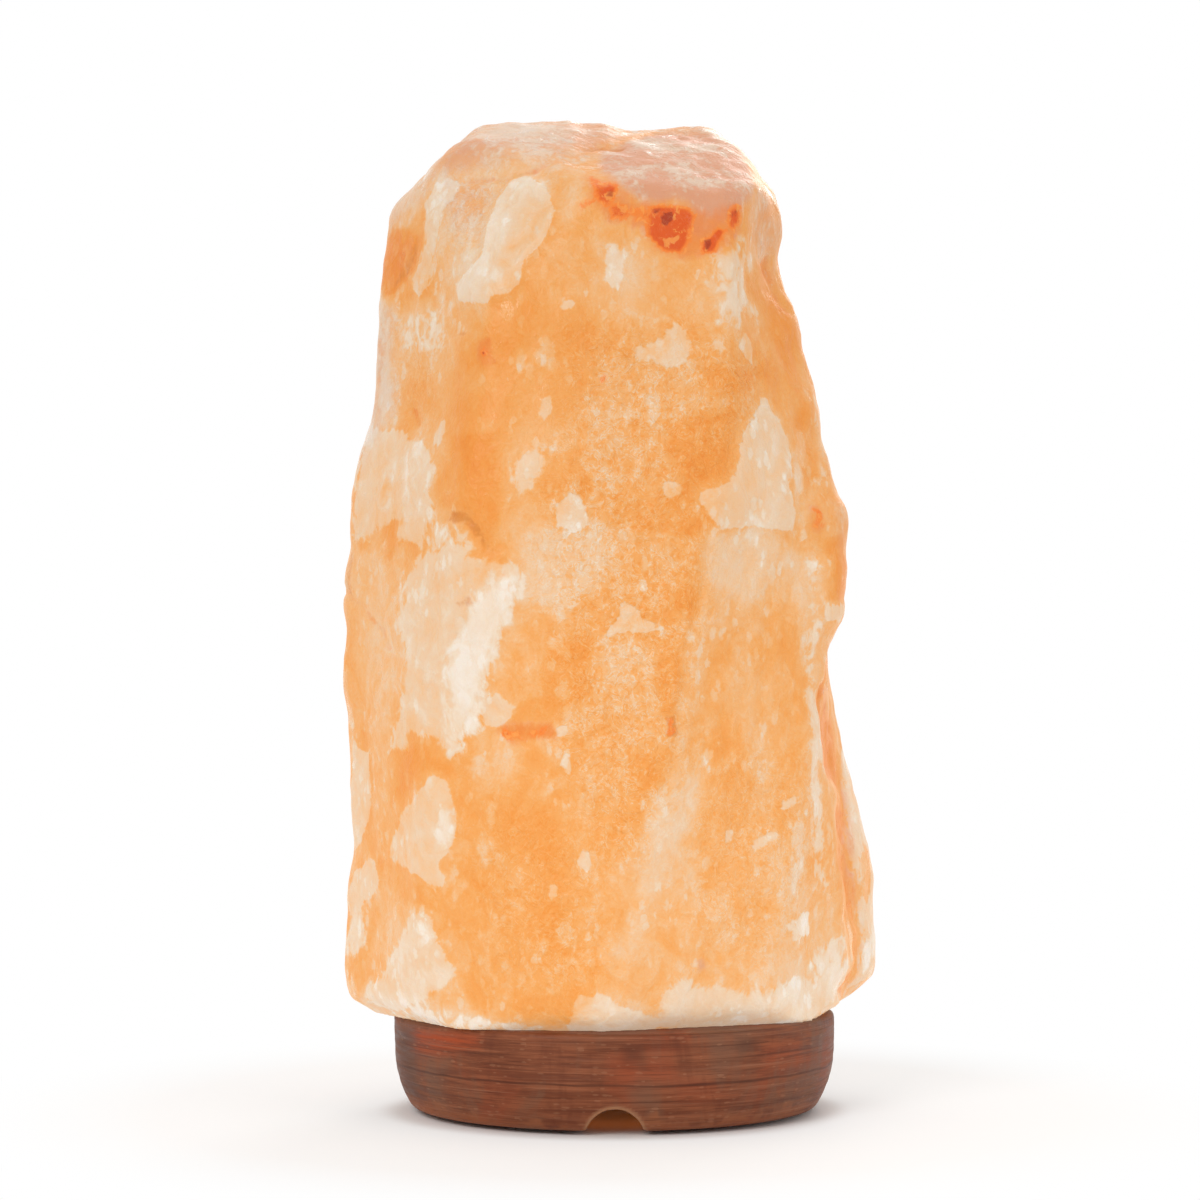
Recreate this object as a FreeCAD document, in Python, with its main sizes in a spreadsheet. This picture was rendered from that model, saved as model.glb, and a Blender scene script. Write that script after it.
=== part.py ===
"""Salt crystal lamp.

A rock of salt, hewn by hand, stands on a turned wooden base. A blind bore goes up into the rock from
below. The base has a hole on the same axis, a recess round it on the underside and a round-topped
channel for the supply cord, which runs right across from rim to rim. A lampholder is pushed up into
the hole from below and grips its wall with a three-legged spring clip. It carries a small screw-in
bulb, which stands free in the bore. Four screws go up through the base into plugs in the rock, and
four felt pads carry the lamp.

Millimetres, +Z up. The origin is on the axis of the base, on the surface that the lamp stands on. The
front, with one end of the cord channel, looks along -Y.
"""

import FreeCAD, Part
import math
import os
import re

import Sketcher

Vector = FreeCAD.Vector
OUT_FOLDER = "parts"

# ---------------------------------------------------------------------------------------------------
# Driving dimensions
# ---------------------------------------------------------------------------------------------------

SIZES = {
    # felt pads
    "pad_radius": 6.0,
    "pad_proud": 1.0,
    "pad_recess": 0.6,
    "pad_gap": 0.1,
    "pad_circle": 42.0,
    "pad_bearing": 62.0,
    # wooden base
    "base_radius": 58.0,
    "base_height": 25.0,
    "base_top_round": 1.5,
    "belly_start": 15.5,
    "belly_round": 27.0,
    "belly_in": 3.2,
    "belly_end": 2.6,
    "foot_round": 4.0,
    "foot_in": 7.0,
    "hole_radius": 24.0,
    "recess_depth": 9.0,
    "channel_radius": 7.0,
    "channel_height": 6.0,
    # screws and plugs between base and rock
    "screw_circle": 41.0,
    "screw_bearing": 20.0,
    "screw_radius": 2.0,
    "screw_length": 38.0,
    "screw_point": 4.0,
    "screw_tip_radius": 0.4,
    "screw_head_radius": 4.0,
    "screw_head_height": 2.5,
    "screw_sunk": 6.0,
    "screw_hole_gap": 0.3,
    "head_hole_gap": 0.7,
    "plug_radius": 4.0,
    "plug_length": 28.0,
    "plug_gap": 0.1,
    # bore in the rock
    "bore_radius": 25.0,
    "bore_depth": 100.0,
    # lampholder
    "flange_radius": 27.5,
    "flange_gap": 2.5,
    "flange_thick": 3.0,
    "flange_round": 1.0,
    "inlet_radius": 4.0,
    "cup_radius": 12.0,
    "cup_wall": 1.6,
    "cup_height": 11.5,
    "sleeve_gap": 0.2,
    "sleeve_wall": 1.8,
    "sleeve_lip": 2.0,
    "sleeve_round": 1.6,
    "sleeve_mouth": 9.6,
    "core_height": 22.5,
    "core_gap": 0.3,
    "well_gap": 0.2,
    "well_depth": 17.0,
    # spring clip
    "clip_thick": 0.8,
    "clip_ring_width": 4.0,
    "clip_ring_gap": 0.3,
    "leg_width": 8.0,
    "leg_gap": 0.7,
    "leg_root": 0.5,
    "leg_heel": 1.0,
    "leg_bend": 7.5,
    "leg_flat": 2.6,
    "leg_rise": 19.0,
    "leg_lead_in": 4.2,
    "leg_mitre": 0.2,
    # contacts and terminals
    "shell_radius": 7.6,
    "shell_wall": 0.4,
    "shell_height": 16.0,
    "shell_floor_hole": 4.6,
    "contact_width": 3.0,
    "contact_thick": 0.4,
    "contact_rise": 2.6,
    "rivet_radius": 0.6,
    "rivet_gap": 0.05,
    "rivet_head": 0.9,
    "rivet_head_height": 0.5,
    "rivet_grip": 3.0,
    "live_rivet_at": 2.9,
    "shell_rivet_at": 5.9,
    "block_width": 5.6,
    "block_depth": 7.0,
    "block_height": 6.0,
    "block_spacing": 9.4,
    "wire_hole_radius": 1.2,
    "wire_hole_depth": 3.0,
    "wire_hole_back": 1.4,
    "block_screw_radius": 1.2,
    "block_screw_gap": 0.05,
    "block_screw_height": 1.5,
    "block_screw_head": 1.8,
    "block_screw_length": 3.7,
    "block_screw_head_height": 1.4,
    # bulb
    "bulb_length": 60.0,
    "bulb_radius": 14.0,
    "neck_radius": 6.3,
    "glass_wall": 0.7,
    "cap_radius": 6.9,
    "cap_wall": 0.35,
    "cap_length": 21.0,
    "cap_floor": 3.0,
    "cap_floor_radius": 4.8,
    "cap_bevel": 1.4,
    "insulator_gap": 0.1,
    "insulator_ledge": 0.3,
    "insulator_grip": 1.0,
    "tip_radius": 2.3,
    "tip_flat": 1.4,
    "tip_height": 0.9,
    "neck_in_cap": 4.5,
    "neck_proud": 1.0,
    "seal_gap": 0.05,
    "stem_radius": 2.0,
    "stem_rise": 14.0,
    "stem_button": 2.6,
    "lead_radius": 0.3,
    "lead_root": 1.7,
    "lead_start": 1.0,
    "lead_spread": 6.0,
    "lead_bend": 3.7,
    "lead_rise": 11.0,
    "support_radius": 0.2,
    "filament_radius": 0.25,
    "filament_sag": 3.0,
    # the rock: how blunt its ridges are
    "ridge_round": 9.0,
}

# The stations of the rock, where its hewn creases run round it: each one's height above the top of
# the base.
STATION_HEIGHTS = {
    "foot": 0.0,
    "hem": 6.5,
    "hip": 33.0,
    "thigh": 60.0,
    "waist": 90.0,
    "chest": 133.0,
    "shoulder": 163.0,
    "neck": 198.0,
    "crown": 250.0,
}

# How much the plane of each station rises towards +X and towards +Y, in degrees.
STATION_ANGLES = {
    "foot": (0.0, 0.0),
    "hem": (0.0, 2.0),
    "hip": (4.0, -5.0),
    "thigh": (-5.0, 4.0),
    "waist": (5.0, 3.0),
    "chest": (-4.0, -5.0),
    "shoulder": (5.0, 4.0),
    "neck": (-3.0, -3.0),
    "crown": (0.0, 0.0),
}

# The ridges of the rock: how far each one reaches from the axis at each station.
RIDGE_REACHES = {
    "lobe": (60.5, 73.0, 72.5, 67.0, 58.5, 59.0, 50.0, 42.0, 41.0),
    "valley": (56.0, 61.0, 61.0, 59.5, 58.5, 62.6, 51.8, 43.2, 42.0),
    "right_front": (58.0, 66.5, 68.0, 65.5, 62.0, 66.0, 55.5, 46.5, 45.0),
    "front_right": (51.0, 58.5, 60.0, 61.0, 62.0, 62.5, 60.0, 56.0, 52.0),
    "front_left": (61.0, 68.0, 69.5, 69.5, 69.0, 67.5, 64.5, 60.5, 56.0),
    "left": (64.5, 71.5, 71.0, 71.6, 73.0, 70.8, 65.0, 62.0, 61.0),
    "left_back": (58.0, 66.0, 67.0, 66.5, 66.0, 64.5, 62.0, 58.0, 54.0),
    "back": (52.0, 58.5, 60.5, 61.5, 61.5, 60.5, 58.5, 54.0, 50.0),
    "right_back": (60.0, 67.0, 68.0, 65.5, 63.5, 62.5, 58.5, 53.0, 50.0),
}

# Each ridge's bearing at its foot and at its crown, in degrees from +X and anticlockwise from above.
RIDGE_BEARINGS = {
    "lobe": (14.0, 8.0),
    "valley": (-8.0, -12.0),
    "right_front": (-31.0, -20.0),
    "front_right": (-92.0, -48.0),
    "front_left": (-130.0, -118.0),
    "left": (-176.0, -168.0),
    "left_back": (150.0, 138.0),
    "back": (104.0, 92.0),
    "right_back": (50.0, 58.0),
}

# Chips: flat faces struck off the rock. Of each, how far from the axis and how high above the top of
# the base one point of it lies.
CHIP_PLACES = {
    "crown_top": (0.0, 232.7),
    "crown_back": (0.0, 238.0),
    "crown_left": (45.0, 224.0),
    "crown_right": (35.5, 224.0),
    "right_brow": (41.2, 214.0),
    "cap": (0.0, 235.5),
    "leaf": (58.8, 187.0),
    "left_strip": (60.0, 203.0),
    "left_back_brow": (54.0, 196.0),
    "right_back_brow": (50.7, 190.0),
    "front_left_flank": (64.3, 92.0),
    "front_right_flank": (58.2, 160.0),
    "right_flank": (61.8, 74.0),
    "right_back_flank": (60.5, 104.0),
    "back_flank": (57.8, 126.0),
    "left_back_flank": (62.5, 70.0),
}

# The bearing of each chip, and how far it leans back, in degrees.
CHIP_ANGLES = {
    "crown_top": (-95.0, 76.0),
    "crown_back": (96.0, 66.0),
    "crown_left": (184.0, 44.0),
    "crown_right": (-6.0, 50.0),
    "right_brow": (-8.0, 26.0),
    "cap": (-76.0, 63.0),
    "leaf": (-112.0, 27.0),
    "left_strip": (-151.0, 24.0),
    "left_back_brow": (141.0, 30.0),
    "right_back_brow": (48.0, 28.0),
    "front_left_flank": (-119.0, -3.0),
    "front_right_flank": (-73.0, 5.0),
    "right_flank": (-35.0, -4.0),
    "right_back_flank": (51.0, 4.0),
    "back_flank": (96.0, 5.0),
    "left_back_flank": (149.0, -3.0),
}

# Scoops: shell-shaped hollows where a flake came away. Of each, how far from the axis its deepest
# point lies, its height above the top of the base, and the radius of its curve.
SCOOP_PLACES = {
    "waist_scoop": (55.8, 86.0, 85.0),
    "back_scoop": (57.0, 116.0, 95.0),
}

# The bearing of each scoop, in degrees.
SCOOP_BEARINGS = {
    "waist_scoop": -12.0,
    "back_scoop": 124.0,
}


def rock_cells():
    """The cells of the rock: its stations, ridges, chips and scoops."""
    cells = {}
    for station, height in STATION_HEIGHTS.items():
        cells[f"{station}_height"] = height
        cells[f"{station}_rise_x"], cells[f"{station}_rise_y"] = STATION_ANGLES[station]
    for ridge, reaches in RIDGE_REACHES.items():
        cells[f"{ridge}_foot_bearing"], cells[f"{ridge}_crown_bearing"] = RIDGE_BEARINGS[ridge]
        for station, reach in zip(STATION_HEIGHTS, reaches):
            cells[f"{ridge}_{station}"] = reach
    for chip, (reach, height) in CHIP_PLACES.items():
        cells[f"{chip}_reach"], cells[f"{chip}_height"] = reach, height
        cells[f"{chip}_bearing"], cells[f"{chip}_lean"] = CHIP_ANGLES[chip]
    for scoop, (reach, height, radius) in SCOOP_PLACES.items():
        cells[f"{scoop}_reach"], cells[f"{scoop}_height"], cells[f"{scoop}_radius"] = reach, height, radius
        cells[f"{scoop}_bearing"] = SCOOP_BEARINGS[scoop]
    return cells


doc = FreeCAD.newDocument("salt_crystal_lamp")
sheet = doc.addObject("Spreadsheet::Sheet", "sizes")
CELLS = {**SIZES, **rock_cells()}
for row, (alias, number) in enumerate(CELLS.items(), start=1):
    sheet.set(f"A{row}", alias)
    sheet.set(f"B{row}", str(number))
    sheet.setAlias(f"B{row}", alias)
doc.recompute()

# Heights above the floor that several pieces share
WOOD_BOTTOM = "pad_proud"
WOOD_TOP = "(pad_proud + base_height)"
SEAT = "(pad_proud + recess_depth)"
CORE_BOTTOM = "(pad_proud + recess_depth + cup_height)"
CORE_TOP = f"({CORE_BOTTOM} + core_height)"
WELL_FLOOR = f"({CORE_TOP} - well_depth)"
TIP = f"({WELL_FLOOR} + contact_rise + contact_thick)"
CAP_FLOOR = f"({TIP} + cap_floor)"
CAP_TOP = f"({TIP} + cap_length)"
NECK = f"({CAP_TOP} - neck_in_cap)"
BULB_TOP = f"({TIP} + bulb_length)"
STEM_TOP = f"({CAP_TOP} + stem_rise)"
FILAMENT = f"({STEM_TOP} + lead_rise)"

# Radii that follow from others
SLEEVE_INNER = "(cup_radius + sleeve_gap)"
WELL_RADIUS = "(shell_radius + well_gap)"
RECESS_RADIUS = "(flange_radius + flange_gap)"
RING_INNER = "(cup_radius + clip_ring_gap)"
RING_OUTER = f"({RING_INNER} + clip_ring_width)"
LEG_REACH = "(hole_radius - leg_gap)"

# Where the centre contact's foot ends and where it bends up, each clear of the rivet's head
CONTACT_END = "(live_rivet_at + rivet_head + 2 * rivet_gap)"
CONTACT_BEND = "(live_rivet_at - rivet_head - 2 * rivet_gap)"


# ---------------------------------------------------------------------------------------------------
# Helpers
# ---------------------------------------------------------------------------------------------------


def bound(expression):
    """The expression as another object writes it: each alias with the sheet's name before it."""
    return re.sub(r"[a-z_]+", lambda m: f"sizes.{m.group()}" if m.group() in CELLS else m.group(), expression)


def size(expression):
    """The number that an expression of cells gives."""
    return float(sheet.evalExpression(expression))


def add(kind, name, **expressions):
    """An object of the document, with its properties bound to expressions of cells."""
    thing = doc.addObject(kind, name)
    for key, expression in expressions.items():
        thing.setExpression(key, bound(expression))
    return thing


def place(thing, x="0", y="0", z="0"):
    """Binds where an object lies."""
    for axis, expression in zip("xyz", (x, y, z)):
        thing.setExpression(f"Placement.Base.{axis}", bound(expression))
    return thing


def cylinder(name, radius, height, x="0", y="0", z="0"):
    return place(add("Part::Cylinder", name, Radius=radius, Height=height), x, y, z)


def box(name, length, width, height, x="0", y="0", z="0"):
    return place(add("Part::Box", name, Length=length, Width=width, Height=height), x, y, z)


def cut(name, base, tool):
    result = doc.addObject("Part::Cut", name)
    result.Base = base
    result.Tool = tool
    return result


def fuse(name, pieces):
    result = doc.addObject("Part::MultiFuse", name)
    result.Shapes = pieces
    return result


def group(name, pieces):
    """Separate solids that share one node."""
    result = doc.addObject("Part::Compound", name)
    result.Links = pieces
    return result


def new_body(name):
    return doc.addObject("PartDesign::Body", name)


def sketch_on(body, name, role):
    """A sketch on one of the body's own origin planes."""
    sketch = body.newObject("Sketcher::SketchObject", name)
    plane = next(f for f in body.Origin.OriginFeatures if f.Role == role)
    sketch.AttachmentSupport = [(plane, "")]
    sketch.MapMode = "FlatFace"
    return sketch


def tie_point(sketch, geometry, end, x, y):
    """Holds one end of a sketch's line at a place given by two expressions."""
    for kind, axis, expression in (("DistanceX", -2, x), ("DistanceY", -1, y)):
        value = size(expression)
        if abs(value) < 1e-9:
            sketch.addConstraint(Sketcher.Constraint("PointOnObject", geometry, end, axis))
            continue
        index = sketch.addConstraint(Sketcher.Constraint(kind, -1, 1, geometry, end, value))
        sketch.setExpression(f"Constraints[{index}]", bound(expression))


LEFT, RIGHT = 1, -1
AXIS_SIDES = {"left, centred on the axis": LEFT, "right, centred on the axis": RIGHT}
LEFT_ON_AXIS, RIGHT_ON_AXIS = AXIS_SIDES


def arc_between(start, end, radius, side):
    """The short arc from start to end, which bulges to its left or its right."""
    chord = end - start
    normal = Vector(-chord.y, chord.x, 0) * (side / chord.Length)
    drop = math.sqrt(max(radius**2 - (chord.Length / 2) ** 2, 0.0))
    middle = (start + end) * 0.5 + normal * (radius - drop)
    return Part.Arc(start, middle, end)


def outline(sketch, corners):
    """Draws a closed outline.

    Each corner is (x, y), or (x, y, radius, side) where an arc leaves it, which bulges to that side.
    On an arc centred on the axis, the centre is held there and the radius only gives the first guess.
    """
    points = [Vector(size(c[0]), size(c[1]), 0) for c in corners]
    ends = []
    for i, corner in enumerate(corners):
        start, end = points[i], points[(i + 1) % len(points)]
        if len(corner) == 2:
            index = sketch.addGeometry(Part.LineSegment(start, end))
            ends.append((index, 1, 2))
            continue
        radius, side = corner[2:]
        on_axis = side in AXIS_SIDES
        arc = arc_between(start, end, size(radius), AXIS_SIDES.get(side, side))
        index = sketch.addGeometry(arc)
        forward = (sketch.getPoint(index, 1) - start).Length < (sketch.getPoint(index, 2) - start).Length
        ends.append((index, 1, 2) if forward else (index, 2, 1))
        if on_axis:
            sketch.addConstraint(Sketcher.Constraint("PointOnObject", index, 3, -2))
            continue
        held = sketch.addConstraint(Sketcher.Constraint("Radius", index, size(radius)))
        sketch.setExpression(f"Constraints[{held}]", bound(radius))
    for i, corner in enumerate(corners):
        this, after = ends[i], ends[(i + 1) % len(ends)]
        sketch.addConstraint(Sketcher.Constraint("Coincident", this[0], this[2], after[0], after[1]))
        tie_point(sketch, this[0], this[1], corner[0], corner[1])


def turned(name, corners):
    """A body made by turning an outline of (radius, height) about the axis of the lamp."""
    body = new_body(name)
    sketch = sketch_on(body, f"{name}_outline", "XZ_Plane")
    outline(sketch, corners)
    turn = body.newObject("PartDesign::Revolution", f"{name}_turn")
    turn.Profile = sketch
    turn.ReferenceAxis = (sketch, ["V_Axis"])
    turn.Angle = 360.0
    body.Tip = turn
    return body


def circle_on(sketch, radius, x, y):
    """Draws a circle whose centre and radius are bound."""
    index = sketch.addGeometry(Part.Circle(Vector(size(x), size(y), 0), Vector(0, 0, 1), size(radius)))
    constraint = sketch.addConstraint(Sketcher.Constraint("Radius", index, size(radius)))
    sketch.setExpression(f"Constraints[{constraint}]", bound(radius))
    tie_point(sketch, index, 3, x, y)


def around(body, name, feature, count):
    """Repeats a feature of a body round the axis of the lamp."""
    pattern = body.newObject("PartDesign::PolarPattern", name)
    pattern.Originals = [feature]
    axis = next(f for f in body.Origin.OriginFeatures if f.Role == "Z_Axis")
    pattern.Axis = (axis, [""])
    pattern.Angle = 360.0
    pattern.Occurrences = count
    body.Tip = pattern
    return pattern


def drilled(body, name, radius, depth, x, y):
    """Drills four round holes up into a body from the ground, spread evenly round the axis."""
    sketch = sketch_on(body, f"{name}_circle", "XY_Plane")
    circle_on(sketch, radius, x, y)
    pocket = body.newObject("PartDesign::Pocket", name)
    pocket.Profile = sketch
    pocket.Reversed = True
    pocket.setExpression("Length", bound(depth))
    body.Tip = pocket
    return around(body, f"{name}_pattern", pocket, CORNERS)


# ---------------------------------------------------------------------------------------------------
# The stand: base, pads, screws and plugs
# ---------------------------------------------------------------------------------------------------

CORNERS = 4  # places on the base that take a pad, and as many that take a screw
LEGS = 3  # legs of the spring clip


def on_circle(circle, bearing, step):
    """Expressions for the place of one of four pieces spread evenly on a circle."""
    angle = f"({bearing} + {360 * step / CORNERS}) * 1 deg"
    return f"{circle} * cos({angle})", f"{circle} * sin({angle})"


def make_base():
    """The turned base: an almost straight side that curves in to the foot, with its hole and recess."""
    body = turned(
        "wooden_base",
        [
            ("hole_radius", WOOD_TOP),
            ("hole_radius", SEAT),
            (RECESS_RADIUS, SEAT),
            (RECESS_RADIUS, WOOD_BOTTOM),
            ("base_radius - foot_in", WOOD_BOTTOM, "foot_round", RIGHT),
            ("base_radius - belly_in", f"{WOOD_BOTTOM} + belly_end", "belly_round", RIGHT),
            ("base_radius", f"{WOOD_BOTTOM} + belly_start"),
            ("base_radius", f"{WOOD_TOP} - base_top_round", "base_top_round", RIGHT),
            ("base_radius - base_top_round", WOOD_TOP),
        ],
    )
    channel = sketch_on(body, "channel_section", "XZ_Plane")
    circle_on(channel, "channel_radius", "0", f"{WOOD_BOTTOM} + channel_height - channel_radius")
    groove = body.newObject("PartDesign::Pocket", "cord_channel")
    groove.Profile = channel
    groove.Type = "ThroughAll"
    groove.Midplane = True
    body.Tip = groove
    pad = on_circle("pad_circle", "pad_bearing", 0)
    screw = on_circle("screw_circle", "screw_bearing", 0)
    drilled(body, "pad_recesses", "pad_radius + pad_gap", f"{WOOD_BOTTOM} + pad_recess", *pad)
    drilled(body, "head_holes", "screw_head_radius + head_hole_gap", f"{WOOD_BOTTOM} + screw_sunk", *screw)
    drilled(body, "screw_holes", "screw_radius + screw_hole_gap", WOOD_TOP, *screw)
    return body


def make_pads():
    """Felt pads, let into shallow recesses in the underside."""
    pads = []
    for i in range(CORNERS):
        x, y = on_circle("pad_circle", "pad_bearing", i)
        pads.append(cylinder(f"pad_{i}", "pad_radius", "pad_proud + pad_recess", x, y))
    return group("felt_pads", pads)


def make_screws():
    """Pan-headed wood screws, their heads sunk in the underside of the base."""
    screws = []
    seat = f"{WOOD_BOTTOM} + screw_sunk"
    for i in range(CORNERS):
        x, y = on_circle("screw_circle", "screw_bearing", i)
        under = f"{seat} - screw_head_height"
        head = cylinder(f"head_{i}", "screw_head_radius", "screw_head_height", x, y, under)
        shank = cylinder(f"shank_{i}", "screw_radius", "screw_length - screw_point", x, y, seat)
        point = add("Part::Cone", f"point_{i}", Radius1="screw_radius", Radius2="screw_tip_radius")
        point.setExpression("Height", bound("screw_point"))
        place(point, x, y, f"{seat} + screw_length - screw_point")
        screws.append(fuse(f"screw_{i}", [head, shank, point]))
    return group("base_screws", screws)


def make_plugs():
    """Plugs in the rock, open from end to end for the screws."""
    plugs = []
    for i in range(CORNERS):
        x, y = on_circle("screw_circle", "screw_bearing", i)
        outer = cylinder(f"plug_outer_{i}", "plug_radius", "plug_length", x, y, WOOD_TOP)
        inner = cylinder(f"plug_bore_{i}", "screw_radius + plug_gap", "plug_length", x, y, WOOD_TOP)
        plugs.append(cut(f"plug_{i}", outer, inner))
    return group("wall_plugs", plugs)


# ---------------------------------------------------------------------------------------------------
# The rock
# ---------------------------------------------------------------------------------------------------


BLUNT_SHARE = 0.42  # how much of a ring's edge one blunted corner may take


def blunt_ring(points, radius):
    """A closed ring of straight edges through the points, each corner blunted by an arc."""
    count = len(points)
    arcs = []
    for i, corner in enumerate(points):
        before = points[i - 1] - corner
        after = points[(i + 1) % count] - corner
        half = before.getAngle(after) / 2
        reach = min(radius / math.tan(half), BLUNT_SHARE * min(before.Length, after.Length))
        before.normalize()
        after.normalize()
        bisector = (before + after).normalize()
        blunt = reach * math.tan(half)
        middle = corner + bisector * (blunt / math.sin(half) - blunt)
        arcs.append((corner + before * reach, middle, corner + after * reach))
    edges = []
    for i, (start, middle, end) in enumerate(arcs):
        edges.append(Part.Arc(start, middle, end).toShape())
        edges.append(Part.LineSegment(end, arcs[(i + 1) % count][0]).toShape())
    return Part.Wire(edges)


def station_ring(station):
    """The outline of the rock at one station, from the reach of each ridge there."""
    ring = doc.addObject("Part::Feature", f"{station}_ring")
    lift = size(f"{WOOD_TOP} + {station}_height")
    rise_x = math.tan(math.radians(size(f"{station}_rise_x")))
    rise_y = math.tan(math.radians(size(f"{station}_rise_y")))
    share = f"{station}_height / crown_height"
    points = []
    for ridge in RIDGE_REACHES:
        foot, crown = f"{ridge}_foot_bearing", f"{ridge}_crown_bearing"
        bearing = math.radians(size(f"{foot} + ({crown} - {foot}) * {share}"))
        reach = size(f"{ridge}_{station}")
        x, y = reach * math.cos(bearing), reach * math.sin(bearing)
        points.append(Vector(x, y, lift + x * rise_x + y * rise_y))
    ring.Shape = blunt_ring(points, size("ridge_round"))
    return ring


def chip_block(chip):
    """The block that strikes one flat face off the rock."""
    span = size("crown_height")
    bearing, lean = math.radians(size(f"{chip}_bearing")), math.radians(size(f"{chip}_lean"))
    reach, height = size(f"{chip}_reach"), size(f"{WOOD_TOP} + {chip}_height")
    out = Vector(math.cos(bearing), math.sin(bearing), 0)
    normal = out * math.cos(lean) + Vector(0, 0, math.sin(lean))
    turn = FreeCAD.Rotation(Vector(0, 0, 1), normal)
    corner = out * reach + Vector(0, 0, height) - turn.multVec(Vector(span / 2, span / 2, 0))
    block = doc.addObject("Part::Box", f"{chip}_block")
    block.Length = block.Width = block.Height = span
    block.Placement = FreeCAD.Placement(corner, turn)
    return block


def scoop_ball(scoop):
    """The ball whose surface is one shell-shaped hollow."""
    ball = add("Part::Sphere", f"{scoop}_ball", Radius=f"{scoop}_radius")
    out = f"({scoop}_reach + {scoop}_radius)"
    angle = f"{scoop}_bearing * 1 deg"
    return place(ball, f"{out} * cos({angle})", f"{out} * sin({angle})", f"{WOOD_TOP} + {scoop}_height")


def make_rock():
    """The rock: a loft through its stations, chipped and scooped, with the bore and the plug holes."""
    loft = doc.addObject("Part::Loft", "hewn_block")
    loft.Sections = [station_ring(station) for station in STATION_HEIGHTS]
    loft.Solid = True
    loft.Ruled = True
    tools = [chip_block(chip) for chip in CHIP_PLACES]
    tools += [scoop_ball(scoop) for scoop in SCOOP_PLACES]
    tools.append(cylinder("bulb_bore", "bore_radius", "bore_depth", z=WOOD_TOP))
    for i in range(CORNERS):
        x, y = on_circle("screw_circle", "screw_bearing", i)
        tools.append(cylinder(f"plug_hole_{i}", "plug_radius", "plug_length + screw_point", x, y, WOOD_TOP))
    return cut("salt_crystal", loft, fuse("taken_away", tools))


# ---------------------------------------------------------------------------------------------------
# The lampholder
# ---------------------------------------------------------------------------------------------------


def make_holder_cap():
    """The screw-on lower cover: a flange that closes the hole, a cord inlet and a threaded cup."""
    return turned(
        "holder_cap",
        [
            ("inlet_radius", f"{SEAT} - flange_thick"),
            ("flange_radius - flange_round", f"{SEAT} - flange_thick", "flange_round", RIGHT),
            ("flange_radius", f"{SEAT} - flange_thick + flange_round"),
            ("flange_radius", SEAT),
            ("cup_radius", SEAT),
            ("cup_radius", CORE_BOTTOM),
            ("cup_radius - cup_wall", CORE_BOTTOM),
            ("cup_radius - cup_wall", SEAT),
            ("inlet_radius", SEAT),
        ],
    )


def make_sleeve():
    """The upper cover, which screws down over the cup and clamps the spring clip on the flange."""
    outer = f"({SLEEVE_INNER} + sleeve_wall)"
    ledge = f"({CORE_TOP} + core_gap)"
    top = f"({ledge} + sleeve_lip)"
    return turned(
        "holder_sleeve",
        [
            (SLEEVE_INNER, f"{SEAT} + clip_thick"),
            (outer, f"{SEAT} + clip_thick"),
            (outer, f"{top} - sleeve_round", "sleeve_round", RIGHT),
            (f"{outer} - sleeve_round", top),
            ("sleeve_mouth", top),
            ("sleeve_mouth", ledge),
            (SLEEVE_INNER, ledge),
        ],
    )


def make_core():
    """The ceramic core, with a well for the screw shell and two holes for the rivets."""
    blank = cylinder("core_blank", "cup_radius", "core_height", z=CORE_BOTTOM)
    well = cylinder("core_well", WELL_RADIUS, "well_depth", z=WELL_FLOOR)
    hole = "rivet_radius + rivet_gap"
    live = cylinder("live_rivet_hole", hole, "core_height", x="-live_rivet_at", z=CORE_BOTTOM)
    shell = cylinder("shell_rivet_hole", hole, "core_height", x="shell_rivet_at", z=CORE_BOTTOM)
    return cut("holder_core", blank, fuse("core_taken_away", [well, live, shell]))


def pierce(body, name, x):
    """A rivet's hole through a body, from top to bottom."""
    sketch = sketch_on(body, f"{name}_circle", "XY_Plane")
    circle_on(sketch, "rivet_radius + rivet_gap", x, "0")
    hole = body.newObject("PartDesign::Pocket", name)
    hole.Profile = sketch
    hole.Type = "ThroughAll"
    hole.Midplane = True
    body.Tip = hole
    return body


def make_shell():
    """The brass screw shell: a tube with a floor that is open round the centre contact."""
    inner = "(shell_radius - shell_wall)"
    floor, rim = f"({WELL_FLOOR} + shell_wall)", f"({WELL_FLOOR} + shell_height)"
    body = turned(
        "screw_shell",
        [
            ("shell_floor_hole", WELL_FLOOR),
            ("shell_radius", WELL_FLOOR),
            ("shell_radius", rim),
            (inner, rim),
            (inner, floor),
            ("shell_floor_hole", floor),
        ],
    )
    return pierce(body, "shell_rivet_way", "shell_rivet_at")


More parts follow.
